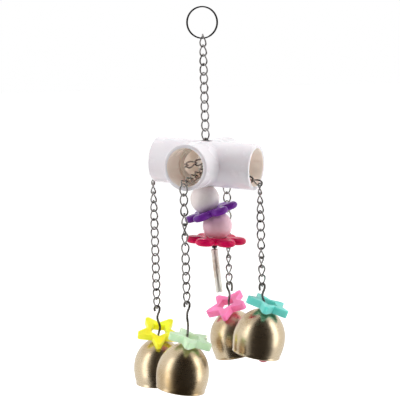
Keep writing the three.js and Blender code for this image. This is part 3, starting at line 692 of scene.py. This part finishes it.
# %% One mitred arm
PIPE_DIAMETER = 31
ARM_LENGTH = 36.5
SOCKET_WALL = 2.75
SOCKET_DIAMETER = PIPE_DIAMETER - 2 * SOCKET_WALL
SOCKET_DEPTH = 19
SOCKET_STEP = 1.35
BORE_DIAMETER = SOCKET_DIAMETER - 2 * SOCKET_STEP
RIM_ROUND = 0.7
TOP_HOLE = 8.6
BOTTOM_HOLE = 11.5
FITTING_TILT = 3.9
PIPE_STEPS = 64
RIM_POINTS = 5
HOLE_STEPS = 48
MITRE_FILLET = 0.9
FILLET_FROM = 8
ON_MITRE = 0.01
ON_WALL = 0.1

outer = PIPE_DIAMETER / 2
socket = SOCKET_DIAMETER / 2
floor_at = ARM_LENGTH - SOCKET_DEPTH


def rim_arc(radius, first, last):
    return arc_points(xz(ARM_LENGTH - RIM_ROUND, radius), UP, OUT, RIM_ROUND, first, last, RIM_POINTS)


arm_profile = [
    xz(0, BORE_DIAMETER / 2),
    xz(floor_at, BORE_DIAMETER / 2),
    xz(floor_at, socket),
    *rim_arc(socket + RIM_ROUND, 180, 90),
    *rim_arc(outer - RIM_ROUND, 90, 0),
    xz(0, outer),
]
arm = turn_profile("pipe_arm", arm_profile, PIPE_STEPS, axis=OUT)
# inner_wall marks the socket and bore walls, which the white finish paints warm beige as painted shade
inner_wall = arm.data.attributes.new("inner_wall", "FLOAT", "POINT")
inner_reach = (socket + RIM_ROUND / 2) * MM
inner_wall.data.foreach_set("value", [float(v.co.yz.length < inner_reach) for v in arm.data.vertices])
for side in (1, -1):
    edit_all(arm)
    bpy.ops.mesh.bisect(plane_co=(0, 0, 0), plane_no=(1, side, 0), clear_inner=True)
    leave_edit()
print("pipe arm", len(arm.data.polygons), "faces")

# %% Four arms, their fillets and the two drilled holes
arms = [arm]
for quarter in (1, 2, 3):
    arms.append(copy_of(arm, f"pipe_arm_{quarter}"))
    set_down(arms[-1], about_z(90 * quarter))
join(*arms)
cross = arms[0]
close_up(cross)


def tilted(way):
    return turned(way, TOWARDS, -FITTING_TILT)


def on_outer_mitre(*ends):
    on_mitre = all(abs(abs(p.x) - abs(p.y)) < ON_MITRE for p in ends)
    return on_mitre and all(abs(p.x) > FILLET_FROM and p.xz.length > outer - ON_WALL for p in ends)


edit_edges(cross, on_outer_mitre)
bpy.ops.mesh.bevel(offset=MITRE_FILLET * MM, segments=3, clamp_overlap=False)
leave_edit()
for diameter, side in ((TOP_HOLE, 1), (BOTTOM_HOLE, -1)):
    drill = add_new(
        bpy.ops.mesh.primitive_cylinder_add,
        vertices=HOLE_STEPS,
        radius=diameter / 2 * MM,
        depth=outer * MM,
        location=(0, 0, side * outer * MM),
    )
    cut(cross, drill)
set_down(cross, stand(tilted(UP), tilted(OUT), centre))
dress(cross, "pipe_cross", "white_plastic", degrees=30)

# %% [markdown]
# ## Joining ring
# Inside the fitting one bent ring gathers the chains and the centre wire. It is bent from wire and its
# two ends only meet, so it is made as a wire bent round almost a full turn, and not as a closed torus.

# %% Joining ring
JOINING_HEADING = -45
JOINING_SPLIT = 7
JOINING_SPLIT_AT = 30
JOINING_POINTS = 24

joining_plane = heading(JOINING_HEADING)
ring_from = JOINING_SPLIT_AT + JOINING_SPLIT / 2
ring_to = JOINING_SPLIT_AT + 360 - JOINING_SPLIT / 2
joining_points = arc_points(centre, joining_plane, UP, JOINING_RADIUS, ring_from, ring_to, JOINING_POINTS)
joining_ring = bend_wire("joining_ring", joining_points, JOINING_WIRE, steps=3)
dress(joining_ring, "joining_ring", "steel_wire", degrees=50)

# %% [markdown]
# ## Beads on the centre wire
# Two balls hang under the fitting: the upper one closes its bottom hole, and the lower one touches it
# through the purple flower. A bead is turned from half a circle with a straight bore, because a plain
# ball would have no hole for the wire.

# %% Beads
BEAD_DIAMETER = 20
BEAD_BORE = 8
BEAD_STEPS = 48
UPPER_BEAD_LEAN = 10
LOWER_BEAD_ACROSS = 6.4
LOWER_BEAD_LEAN = 9

bead_radius = BEAD_DIAMETER / 2


def seat_depth(radius):
    return math.sqrt(bead_radius**2 - radius**2)


def strung_at(across, depth):
    return centre + ACROSS * across - UP * depth


seat_drop = PIPE_DIAMETER / 2 + seat_depth(BOTTOM_HOLE / 2) + 2 * CLEARANCE
upper_bead_at = centre + tilted(UP * -seat_drop)
upper_bead_across = (upper_bead_at - centre).dot(ACROSS)
upper_bead_depth = centre.z - upper_bead_at.z
bead_shift = LOWER_BEAD_ACROSS - upper_bead_across
lower_bead_depth = upper_bead_depth + math.sqrt((BEAD_DIAMETER + CLEARANCE) ** 2 - bead_shift**2)
lower_bead_at = strung_at(LOWER_BEAD_ACROSS, lower_bead_depth)
purple_at = (upper_bead_at + lower_bead_at) / 2

bore_edge = math.degrees(math.acos(BEAD_BORE / 2 / bead_radius))
bead_profile = arc_points(Vector(), OUT, UP, bead_radius, -bore_edge, bore_edge, BEAD_STEPS + 1)
bead = turn_profile("bead", [*bead_profile, bead_profile[0]], BEAD_STEPS)
smooth(bead, degrees=40)
for name, place, lean, slot in (
    ("bead_upper", upper_bead_at, UPPER_BEAD_LEAN, "ivory_bead"),
    ("bead_lower", lower_bead_at, LOWER_BEAD_LEAN, "pink_bead"),
):
    ball = copy_of(bead, name)
    set_down(ball, stand(turned(UP, TOWARDS, lean), ACROSS, place))
    dress(ball, name, slot)
throw_away(bead)

# %% [markdown]
# ## Flowers
# The flowers are cast discs of six petals, thick and rounded like a cushion. Their edge is drawn as six
# arcs and filled, and the face is inset step by step, each step flatter than the last, which puffs every
# petal as a bevel on a flat disc can't. A mirror gives the lower half, and a drill that widens towards its
# two ends cuts the hole, so that the beads seat in it.

# %% Flowers
FLOWER_THICKNESS = 3.4
FLOWER_BORE = 11.6
PETALS = 6
PETAL_SHARE = 0.325
PETAL_POINTS = 14
PETAL_SPREAD = 92
PETAL_NOTCH = 0.6
NOTCH_TURN = 2.8
FLOWER_PUFF = 4.8
PUFF_WIDTH = 2.8
PUFF_STEPS = 6
BORE_STEPS = 48
BORE_WAIST = 0.65
BORE_FLARE = 1.2
PURPLE_DIAMETER = 37.6
RED_DIAMETER = 41.2
PURPLE_LEAN = 17
RED_ACROSS = 5.2
RED_LEAN = -3.7
FLOWER_BEVEL = 1.3

flower_mouth = FLOWER_BORE / 2 + FLOWER_BEVEL - CLEARANCE
red_seat = seat_depth(flower_mouth - abs(LOWER_BEAD_ACROSS - RED_ACROSS))
red_depth = lower_bead_depth + red_seat + FLOWER_THICKNESS / 2
bore_mouth = FLOWER_BORE / 2 + BORE_FLARE * (FLOWER_PUFF - BORE_WAIST)
drill_profile = [
    xz(0, -FLOWER_PUFF),
    xz(bore_mouth, -FLOWER_PUFF),
    xz(FLOWER_BORE / 2, -BORE_WAIST),
    xz(FLOWER_BORE / 2, BORE_WAIST),
    xz(bore_mouth, FLOWER_PUFF),
    xz(0, FLOWER_PUFF),
]


def lobed_edge(lobes, reach, lobe_round, spread, lobe_points, notch, notch_turns):
    points = []
    for i in range(lobes):
        turn = 360 / lobes * i
        out = heading(turn)
        side = heading(turn + 90)
        middle = out * (reach - lobe_round)
        points += arc_points(middle, out, side, lobe_round, -spread, spread, lobe_points)
        for notch_turn in notch_turns:
            points.append(heading(turn + 180 / lobes + notch_turn) * notch)
    return points


def petal_edge(radius):
    notch_turns = (-NOTCH_TURN, NOTCH_TURN)
    petal = (radius * PETAL_SHARE, PETAL_SPREAD, PETAL_POINTS)
    return lobed_edge(PETALS, radius, *petal, radius * PETAL_NOTCH, notch_turns)


def add_flower(name, diameter, place, lean, slot):
    flower = draw_line(name, petal_edge(diameter / 2), closed=True)
    edit_all(flower)
    bpy.ops.mesh.edge_face_add()
    bpy.ops.mesh.select_mode(type="FACE")
    before_in, before_up = 0, 0
    for i in range(1, PUFF_STEPS + 1):
        angle = math.pi / 2 * i / PUFF_STEPS
        inwards = PUFF_WIDTH * (1 - math.cos(angle))
        upwards = FLOWER_PUFF / 2 * math.sin(angle)
        bpy.ops.mesh.inset(thickness=(inwards - before_in) * MM, depth=(upwards - before_up) * MM)
        before_in, before_up = inwards, upwards
    leave_edit()
    apply_modifier(flower, "MIRROR", use_axis=(False, False, True), merge_threshold=WELD)
    close_up(flower)
    cut(flower, turn_profile("flower_drill", drill_profile, BORE_STEPS))
    set_down(flower, stand(turned(UP, TOWARDS, lean), ACROSS, place))
    dress(flower, name, slot, degrees=50)


add_flower("flower_purple", PURPLE_DIAMETER, purple_at, PURPLE_LEAN, "purple_flower")
red_at = strung_at(RED_ACROSS, red_depth)
add_flower("flower_red", RED_DIAMETER, red_at, RED_LEAN, "crimson_flower")

# %% [markdown]
# ## Centre wire, stop sleeve and rolled tube
# The centre wire hangs by an eye in the joining ring and winds down through the beads and flowers. Under
# them a short black sleeve grips it, and its upset head holds a tube rolled from sheet, closed at the top,
# whose seam gapes towards the foot. The wire is bent through its points, and its head is turned and joined
# on. The tube is turned from its wall's profile, and a wedge cuts the seam.

# %% Centre wire
CENTRE_WIRE = 1.6
CENTRE_EYE = 2.3
WIRE_SLACK = 0.5
SLEEVE_LENGTH = 3.2
SLEEVE_ACROSS = 4.1
TUBE_WALL = 0.5
TUBE_DROP = 0.9
HEAD_DIAMETER = 3.1
HEAD_POINTS = 12
HEAD_STEPS = 20
EYE_FROM = 215
EYE_TO = -40
EYE_NECK = 2.75
EYE_POINTS = 9

sleeve_top = red_depth + FLOWER_THICKNESS / 2 + CLEARANCE
sleeve_foot = sleeve_top + SLEEVE_LENGTH
head_at = strung_at(SLEEVE_ACROSS, sleeve_foot + TUBE_DROP + TUBE_WALL + CLEARANCE + HEAD_DIAMETER / 2)
eye_top = centre + UP * (wire_gap(JOINING_WIRE, CENTRE_WIRE) - JOINING_RADIUS)


def eye_points(top, first, radius):
    return arc_points(top - UP * radius, first, UP, radius, EYE_FROM, EYE_TO, EYE_POINTS)


wire_points = [
    *eye_points(eye_top, heading(JOINING_HEADING + 90), CENTRE_EYE),
    eye_top - UP * EYE_NECK * CENTRE_EYE,
    strung_at(upper_bead_across / 2, upper_bead_depth - bead_radius),
    strung_at(upper_bead_across + WIRE_SLACK, upper_bead_depth),
    purple_at + ACROSS * WIRE_SLACK,
    strung_at(LOWER_BEAD_ACROSS - WIRE_SLACK, lower_bead_depth),
    red_at,
    strung_at(SLEEVE_ACROSS, sleeve_top),
    strung_at(SLEEVE_ACROSS, sleeve_foot),
    head_at,
]
centre_wire = bend_wire("centre_wire", wire_points, CENTRE_WIRE)
head_profile = arc_points(Vector(), UP, OUT, HEAD_DIAMETER / 2, 0, 180, HEAD_POINTS)
head = turn_profile("wire_head", head_profile, HEAD_STEPS)
set_down(head, Matrix.Translation(head_at * MM))
join(centre_wire, head)
dress(centre_wire, "centre_wire", "steel_wire", degrees=50)

# %% Stop sleeve
SLEEVE_DIAMETER = 3.6
SLEEVE_ROUND = 0.3
ROUND_SHARE = 0.3
SLEEVE_STEPS = 32

sleeve_bore = CENTRE_WIRE / 2 + CLEARANCE
sleeve_half = SLEEVE_DIAMETER / 2
mid_round = ROUND_SHARE * SLEEVE_ROUND
sleeve_edge = [
    xz(sleeve_bore, 0),
    xz(sleeve_half - SLEEVE_ROUND, 0),
    xz(sleeve_half - mid_round, mid_round),
    xz(sleeve_half, SLEEVE_ROUND),
]
sleeve_other_edge = [xz(point.x, SLEEVE_LENGTH - point.z) for point in reversed(sleeve_edge)]
sleeve = turn_profile("stop_sleeve", [*sleeve_edge, *sleeve_other_edge, sleeve_edge[0]], SLEEVE_STEPS)
set_down(sleeve, Matrix.Translation(strung_at(SLEEVE_ACROSS, sleeve_foot) * MM))
dress(sleeve, "stop_sleeve", "black_sleeve", degrees=50)

# %% Rolled tube
TUBE_DIAMETER = 4.6
TUBE_LENGTH = 30
TUBE_HOLE = 2.9
TUBE_LEAN = 5.2
TUBE_ROUND = 0.6
SEAM_TOP = 0.2
SEAM_FOOT = 0.9
SEAM_PAST = 1
SHOULDER_POINTS = 5
TUBE_STEPS = 48

tube_outer = TUBE_DIAMETER / 2
tube_inner = tube_outer - TUBE_WALL
shoulder = xz(tube_outer - TUBE_ROUND, -TUBE_ROUND)
tube_profile = [
    xz(TUBE_HOLE / 2, 0),
    xz(TUBE_HOLE / 2, -TUBE_WALL),
    xz(tube_inner, -TUBE_WALL),
    xz(tube_inner, -TUBE_LENGTH),
    xz(tube_outer, -TUBE_LENGTH),
    *arc_points(shoulder, OUT, UP, TUBE_ROUND, 0, 90, SHOULDER_POINTS),
    xz(TUBE_HOLE / 2, 0),
]
tube = turn_profile("clapper_tube", tube_profile, TUBE_STEPS)
seam_low = -TUBE_LENGTH - SEAM_PAST
seam_corners = [
    xz(-SEAM_TOP / 2, -2 * TUBE_WALL),
    xz(-SEAM_FOOT / 2, seam_low),
    xz(SEAM_FOOT / 2, seam_low),
    xz(SEAM_TOP / 2, -2 * TUBE_WALL),
]
wedge = draw_line("seam_wedge", seam_corners, closed=True)
edit_all(wedge)
bpy.ops.mesh.edge_face_add()
bpy.ops.mesh.extrude_region_move(TRANSFORM_OT_translate={"value": (0, -TUBE_DIAMETER * MM, 0)})
close_up(wedge)
cut(tube, wedge)
tube_axis = turned(UP, TOWARDS, TUBE_LEAN)
tube_top = TUBE_WALL + CLEARANCE + HEAD_DIAMETER / 2
set_down(tube, stand(tube_axis, ACROSS, head_at + tube_axis * tube_top))
dress(tube, "clapper_tube", "rolled_metal", degrees=30)

# %% [markdown]
# ## Masters for the four bell sets
# Each arm carries the same set: a bell, a star and a clapper bead. Each is modelled once here and copied
# later. The bell is a spun cup: a round crown, a side that draws in a little, and a folded lip. The star
# is a frame round a star-shaped hole, filled flat between its two edges, extruded and rounded.

# %% A bell
BELL_DIAMETER = 35.2
BELL_HEIGHT = 32
BELL_DOME = 21
BELL_LIP = 32.6
BELL_WALL = 0.9
BELL_HOLE = 2.7
BELL_STEPS = 64
DOME_STEPS = 18
SIDE_STEPS = 8
LIP_ROUND = 0.65
LIP_FROM = -30
LIP_TO = 210
LIP_POINTS = 10

bell_outer = BELL_DIAMETER / 2


def dome_points(wall):
    radius = bell_outer - wall
    rise = BELL_DOME - wall
    start = math.asin(BELL_HOLE / 2 / radius)
    angles = [start + (math.pi / 2 - start) * i / (DOME_STEPS - 1) for i in range(DOME_STEPS)]
    return [xz(radius * math.sin(a), rise * math.cos(a) - BELL_DOME) for a in angles]


def side_points(wall):
    points = []
    for i in range(1, SIDE_STEPS + 1):
        share = i / SIDE_STEPS
        radius = bell_outer - (bell_outer - BELL_LIP / 2) * share**2 - wall
        points.append(xz(radius, -BELL_DOME - (BELL_HEIGHT - 2 * LIP_ROUND - BELL_DOME) * share))
    return points


lip_middle = xz(BELL_LIP / 2 - BELL_WALL / 2, LIP_ROUND - BELL_HEIGHT)
lip_points = arc_points(lip_middle, OUT, -UP, LIP_ROUND, LIP_FROM, LIP_TO, LIP_POINTS)
outside = [*dome_points(0), *side_points(0)]
inside = [*dome_points(BELL_WALL), *side_points(BELL_WALL)]
bell = turn_profile("bell", [*outside, *lip_points, *reversed(inside), outside[0]], BELL_STEPS)
smooth(bell, degrees=35)
heights = bell.data.attributes.new("bell_height", "FLOAT", "POINT")
heights.data.foreach_set("value", [v.co.z / MM for v in bell.data.vertices])
print("bell", len(bell.data.polygons), "faces")

# %% A star
STAR_TIP = 15.2
STAR_NOTCH = 7.8
STAR_THICKNESS = 5
STAR_ROUND = 1.1
STAR_HOLE_TIP = 6.5
STAR_HOLE_NOTCH = 5.1
STAR_POINTS = 5
TIP_ROUND = 1.9
TIP_SPREAD = 66
TIP_POINTS = 9
HOLE_ROUND = 0.5
SHARP_EDGE = 60


def star_edge(tip, notch, tip_round):
    return lobed_edge(STAR_POINTS, tip, tip_round, TIP_SPREAD, TIP_POINTS, notch, (0,))


star = draw_line("star", star_edge(STAR_TIP, STAR_NOTCH, TIP_ROUND), closed=True)
star_hole = draw_line("star_hole", star_edge(STAR_HOLE_TIP, STAR_HOLE_NOTCH, HOLE_ROUND), closed=True)
join(star, star_hole)
edit_all(star)
bpy.ops.transform.translate(value=(0, 0, -STAR_THICKNESS / 2 * MM))
bpy.ops.mesh.fill()
bpy.ops.mesh.extrude_region_move(TRANSFORM_OT_translate={"value": (0, 0, STAR_THICKNESS * MM)})
close_up(star)
edit_all(star)
bpy.ops.mesh.select_mode(type="EDGE")
bpy.ops.mesh.select_all(action="DESELECT")
bpy.ops.mesh.edges_select_sharp(sharpness=math.radians(SHARP_EDGE))
bpy.ops.mesh.bevel(offset=STAR_ROUND * MM, segments=4, clamp_overlap=True)
close_up(star)
smooth(star, degrees=35)
print("star", len(star.data.polygons), "faces")

# %% A clapper bead
CLAPPER_BEAD = 8.4
CLAPPER_BORE = 1.9
CLAPPER_SEAT = 5
CLAPPER_POINTS = 24
CLAPPER_STEPS = 32

clapper_radius = CLAPPER_BEAD / 2
bore_angle = math.degrees(math.asin(CLAPPER_BORE / CLAPPER_BEAD))
bead_top = math.sqrt(CLAPPER_BEAD**2 - CLAPPER_BORE**2) / 2
bore_floor = bead_top - CLAPPER_SEAT - CLEARANCE
clapper_profile = [
    *arc_points(Vector(), UP, OUT, clapper_radius, 180, bore_angle, CLAPPER_POINTS),
    xz(CLAPPER_BORE / 2, bore_floor),
    xz(0, bore_floor),
]
clapper_bead = turn_profile("clapper_bead", clapper_profile, CLAPPER_STEPS)
smooth(clapper_bead, degrees=40)
print("clapper bead", len(clapper_bead.data.polygons), "faces")

# %% [markdown]
# ## Side chains and bell sets
# Each side chain runs from the joining ring over the lip of its arm and straight down to a hook wire. The
# hook holds the last link, and its shank goes down through the star and the crown of the bell, where an
# eye carries the clapper. The four sets differ in their drops, leans and colours, as the table says.

# %% What hangs at each arm
SET_NAMES = ("left", "front", "back", "right")
SET_TABLE = {
    "heading": (180, -90, 90, 0),
    "drop": (101, 89, 89.5, 82),
    "turns": (
        [(0.36, 0), (0.78, 0)],
        [(0.12, 0), (0.6, -180)],
        [(0.1, 0), (0.35, 0), (0.7, -90)],
        [(0.42, 0), (0.5, 0), (0.9, -135)],
    ),
    "stack": (1, -1, -1, 1),
    "shank": (22.8, 28, 20.2, 17.5),
    "bow": (1.5, 0.6, -0.4, 0.3),
    "crown_across": (0.2, -0.7, -0.5, 1.6),
    "bell_lean": (0, 9.6, -10, 12.6),
    "star_lean": (9, 17, -22, 22),
    "star_tip": (29, 5, 22, 5),
    "star_turn": (-17, 48, 45, 47),
    "star_slide": (2.3, 2.9, 2.3, 2.1),
    "leg": (2, 2, 4.6, 3),
    "bent_to": (-1, -1, 1, -1),
    "clapper": (23, 23, 23, 26),
}
SETS = {}
for i, name in enumerate(SET_NAMES):
    SETS[name] = {key: values[i] for key, values in SET_TABLE.items()}
print("sets", list(SETS))

# %% Side chains over the lips
LIP_OVERHANG = 3.7
LIP_RISE = 2.05
LIP_SEAT = 1.85
LIP_ASIDE = 0.5
LIP_YAW = 20
JOINING_STACK = 1.8
JOINING_SAG = 0.9
HOOK_WIRE = 1.6
HOOK_GAP = wire_gap(HOOK_WIRE, LINK_WIRE)


def hanging_yaw(hung, links, start_yaw, end_yaw):
    def nearest(yaw, target):
        return yaw + 180 * math.floor((target - yaw) / 180 + 0.5)

    turns = [(share, SHOWN_TURN + turn) for share, turn in hung["turns"]]
    keys = [(0, nearest(start_yaw, turns[0][1])), *turns, (1, nearest(end_yaw, turns[-1][1]))]

    def yaw_of(i):
        share = i / (links - 1)
        after = next(k for k in range(1, len(keys)) if keys[k][0] >= share)
        (at, yaw), (next_at, next_yaw) = keys[after - 1], keys[after]
        return yaw + (next_yaw - yaw) * (share - at) / (next_at - at)

    return yaw_of


def hang_side_chain(name, hung):
    arm_way = heading(hung["heading"])
    near_side = math.copysign(1, arm_way.dot(joining_plane))
    height = hung["stack"] * JOINING_STACK - JOINING_SAG
    reach = near_side * math.sqrt(JOINING_RADIUS**2 - height**2)
    ring_wire = centre + joining_plane * reach + UP * height
    lip = centre + tilted(arm_way * (ARM_LENGTH + LIP_OVERHANG) + UP * (LIP_RISE - socket))
    outwards = (lip - ring_wire).normalized()
    inner_start = ring_wire - outwards * joining_gap / 2
    inner_links = round((lip - inner_start).length / LINK_PITCH)
    inner = lay_chain(inner_start, lip, inner_links, joining_gap, LINK_GAP, lambda i: LINK_TWIST / 2)
    hang_runs(f"{name}_inner_chain", inner)

    swing = arm_way.cross(UP)
    hang_top = lip + outwards * (LINK_GAP / 2 - LIP_SEAT) - swing * LIP_ASIDE
    hang_start = hang_top - UP * LINK_GAP / 2
    hang_end = Vector((hang_start.x, hang_start.y, centre.z - hung["drop"]))
    links = round((hang_end - hang_start).length / LINK_PITCH)
    start_yaw = hung["heading"] + 90 + LINK_TWIST / 2 - LIP_YAW
    end_yaw = SHOWN_TURN - 90 - LINK_TWIST / 2
    yaw_of = hanging_yaw(hung, links, start_yaw, end_yaw)
    runs = lay_chain(hang_start, hang_end, links, LINK_GAP, HOOK_GAP, yaw_of)
    hang_runs(f"{name}_chain", runs)
    return hang_end - UP * HOOK_GAP / 2


hook_holds = {name: hang_side_chain(name, hung) for name, hung in SETS.items()}
throw_away(curb_link)
print("hooks hang at", hook_holds)

# %% Hook wires
HOOK_BEND = 1.75
HOOK_NECK = 6.4
HOOK_CLOSING = 0.9
HOOK_POINTS = 5
BOW_AT = 0.45
EYE_BEND = 1.9
EYE_DROP = 1.1
EYE_TURN = 250
CROWN_GUIDE = 1.5

crowns = {}
eye_middles = {}
for name, hung in SETS.items():
    side = ACROSS * hung["bent_to"]
    hook_top = hook_holds[name] + UP * HOOK_GAP
    crown = hook_top - UP * hung["shank"] + ACROSS * hung["crown_across"]
    eye_middle = crown + side * EYE_BEND - UP * (BELL_WALL + EYE_DROP + HOOK_WIRE / 2 + EYE_BEND)
    bend = hook_top - UP * HOOK_BEND
    neck = bend - UP * HOOK_NECK
    points = [
        bend + side * HOOK_CLOSING * HOOK_BEND - UP * hung["leg"],
        *arc_points(bend, side, UP, HOOK_BEND, 0, 180, HOOK_POINTS),
        neck,
        neck.lerp(crown, BOW_AT) + ACROSS * hung["bow"],
        crown + UP * CROWN_GUIDE,
        crown - UP * CROWN_GUIDE,
        *arc_points(eye_middle, -side, UP, EYE_BEND, 0, -EYE_TURN, EYE_POINTS),
    ]
    hook = bend_wire(f"{name}_hook", points, HOOK_WIRE)
    dress(hook, f"{name}_hook_wire", "steel_wire", degrees=50)
    crowns[name] = crown
    eye_middles[name] = eye_middle

# %% Bells and stars
for name, hung in SETS.items():
    bell_axis = turned(UP, TOWARDS, -hung["bell_lean"])
    cup = copy_of(bell, f"{name}_bell")
    set_down(cup, stand(bell_axis, ACROSS, crowns[name]))
    dress(cup, f"{name}_bell", "brass")

    lean = math.tan(math.radians(hung["star_lean"]))
    tip = math.tan(math.radians(hung["star_tip"]))
    star_axis = (UP + ACROSS * lean + TOWARDS * tip).normalized()
    upright = bell_axis.dot(star_axis)
    dome_reach = math.hypot(bell_outer * math.sqrt(1 - upright**2), BELL_DOME * upright)
    lift = dome_reach - BELL_DOME * upright + CLEARANCE + STAR_THICKNESS / 2
    downhill = (star_axis * star_axis.z - UP).normalized()
    star_at = crowns[name] + UP * lift / star_axis.z + downhill * hung["star_slide"]
    charm = copy_of(star, f"{name}_star")
    set_down(charm, stand(star_axis, ACROSS, star_at) @ about_z(hung["star_turn"]))
    dress(charm, f"{name}_star", f"{name}_star")
throw_away(bell)
throw_away(star)

# %% Clappers
CLAPPER_WIRE = 1.2
CLAPPER_EYE = 2.1
CLAPPER_LEAD = 2

for name, hung in SETS.items():
    hold = eye_middles[name] - UP * EYE_BEND
    eye_at = hold + UP * wire_gap(HOOK_WIRE, CLAPPER_WIRE)
    bead_middle = hold - UP * hung["clapper"]
    seat = bead_middle + UP * bead_top
    points = [
        *eye_points(eye_at, TOWARDS, CLAPPER_EYE),
        eye_at - UP * EYE_NECK * CLAPPER_EYE,
        seat + UP * CLAPPER_LEAD,
        seat - UP * CLAPPER_SEAT,
    ]
    rod = bend_wire(f"{name}_rod", points, CLAPPER_WIRE)
    dress(rod, f"{name}_clapper_wire", "steel_wire", degrees=50)
    ball = copy_of(clapper_bead, f"{name}_ball")
    set_down(ball, Matrix.Translation(bead_middle * MM))
    dress(ball, f"{name}_clapper_bead", "red_bead")
throw_away(clapper_bead)

# %% [markdown]
# ## Floor, light and background
# The toy hangs in a white studio over a pale floor. Two wide soft lamps stand at its sides and one above,
# and a narrow beam falls on the stars: the metal mirrors none of these. Two tall strips are only mirrored,
# and draw the bright streaks on the bells. The room is white at the sides and dark behind the camera, which
# draws the dark band down the middle of each bell. The background that the camera sees, straight or
# through a piece, is plain white. A lamp's place is given across, towards the camera and up from its
# target, in millimetres, with its size in metres and its power in watts.

# %% Floor
FLOOR_DROP = 60
FLOOR_FRONT = 1500
FLOOR_SIZE = 6000
FLOOR_FADE = (0.4, 2.0)
FLOOR_WHITENING = (0.4, 0.75)
FLOOR_COLOUR = (0.9, 0.9, 0.9, 1)
WHITE = (1, 1, 1, 1)

floor = add_new(bpy.ops.mesh.primitive_plane_add, size=1)
floor.name = "studio_floor"
floor_middle = TOWARDS * (FLOOR_FRONT - FLOOR_SIZE / 2) + UP * (cad_low[2] / MM - FLOOR_DROP)
set_down(floor, stand(UP, ACROSS, floor_middle) @ Matrix.Scale(FLOOR_SIZE * MM, 4))
tree, shader = new_finish("studio_floor")
feed(shader, Base_Color=FLOOR_COLOUR, Roughness=0.8, Emission_Color=WHITE)
seen = add_node(tree, "ShaderNodeLightPath").outputs["Is Camera Ray"]
distance = add_node(tree, "ShaderNodeVectorMath", operation="LENGTH")
plug(distance.inputs[0], object_place(tree))
whitening = add_range(tree, distance.outputs["Value"], *FLOOR_FADE, *FLOOR_WHITENING)
feed(shader, Emission_Strength=add_math(tree, "MULTIPLY", seen, whitening))
floor.data.materials.append(FINISHES["studio_floor"])
floor.visible_glossy = False
print("floor", FLOOR_DROP, "mm below the toy")

# %% Lamps
SOFT_LAMPS = {
    "left_lamp": ((-900, -200, 150), (1.2, 1.5), 9.0),
    "right_lamp": ((930, -250, 100), (1.0, 1.5), 11.0),
    "top_lamp": ((0, 100, 1000), (1.4, 1.4), 9.5),
}
STAR_DEPTH = 222
STAR_LAMP = ((0, 900, 350), (0.2, 0.05), 0.03)
STAR_LAMP_SPREAD = 10
STRIPS = {"left_strip": (-66, 2.5), "right_strip": (76, 3.2)}
STRIP_DISTANCE = 950
STRIP_RISE = 120
STRIP_SIZE = (0.4, 1.3)


def add_lamp(name, target, offset, size, power):
    lamp = add_new(bpy.ops.object.light_add, type="AREA")
    lamp.name = name
    set_all(lamp.data, shape="RECTANGLE", size=size[0], size_y=size[1], energy=power)
    across, towards, upwards = offset
    away = ACROSS * across + TOWARDS * towards + UP * upwards
    level = ACROSS if abs(away.normalized().z) > STEEP else UP.cross(away)
    lamp.matrix_world = stand(away, level, target + away)
    return lamp


soft_lamps = [add_lamp(name, aim, *values) for name, values in SOFT_LAMPS.items()]
star_lamp = add_lamp("star_lamp", UP * -STAR_DEPTH, *STAR_LAMP)
star_lamp.data.spread = math.radians(STAR_LAMP_SPREAD)
for lamp in (*soft_lamps, star_lamp):
    lamp.visible_glossy = False
for name, (turn, power) in STRIPS.items():
    angle = math.radians(turn)
    offset = (STRIP_DISTANCE * math.sin(angle), STRIP_DISTANCE * math.cos(angle), STRIP_RISE)
    add_lamp(name, aim, offset, STRIP_SIZE, power).visible_diffuse = False

# %% Background
DARK_ROOM = (0.035, 0.03, 0.026, 1)
ROOM_LIGHT = 0.35
ROOM_LEFT = (-64, -36)
ROOM_RIGHT = (64, 76)

world = bpy.data.worlds.new("studio")
bpy.context.scene.world = world
world.use_nodes = True
tree = world.node_tree
background = tree.nodes["Background"].inputs
direction = add_node(tree, "ShaderNodeTexCoord").outputs["Generated"]


def share_along(way):
    dot = add_node(tree, "ShaderNodeVectorMath", operation="DOT_PRODUCT")
    plug(dot.inputs[0], direction)
    plug(dot.inputs[1], tuple(way))
    return dot.outputs["Value"]


aside = add_math(tree, "ARCTAN2", share_along(ACROSS), share_along(TOWARDS))
from_left = add_range(tree, aside, *(math.radians(a) for a in ROOM_LEFT))
to_right = add_range(tree, aside, *(math.radians(a) for a in ROOM_RIGHT), 1.0, 0.0)
room = add_mix(tree, add_math(tree, "MULTIPLY", from_left, to_right), WHITE, DARK_ROOM)
paths = add_node(tree, "ShaderNodeLightPath").outputs
seen = add_math(tree, "MAXIMUM", paths["Is Camera Ray"], paths["Is Transmission Ray"])
feed(background, Color=add_mix(tree, seen, room, WHITE))
mirrored = add_math(tree, "MAXIMUM", seen, paths["Is Glossy Ray"])
feed(background, Strength=add_range(tree, mirrored, 0.0, 1.0, ROOM_LIGHT, 1.0))
bpy.context.scene.view_settings.view_transform = "Standard"
print("background", world.name)
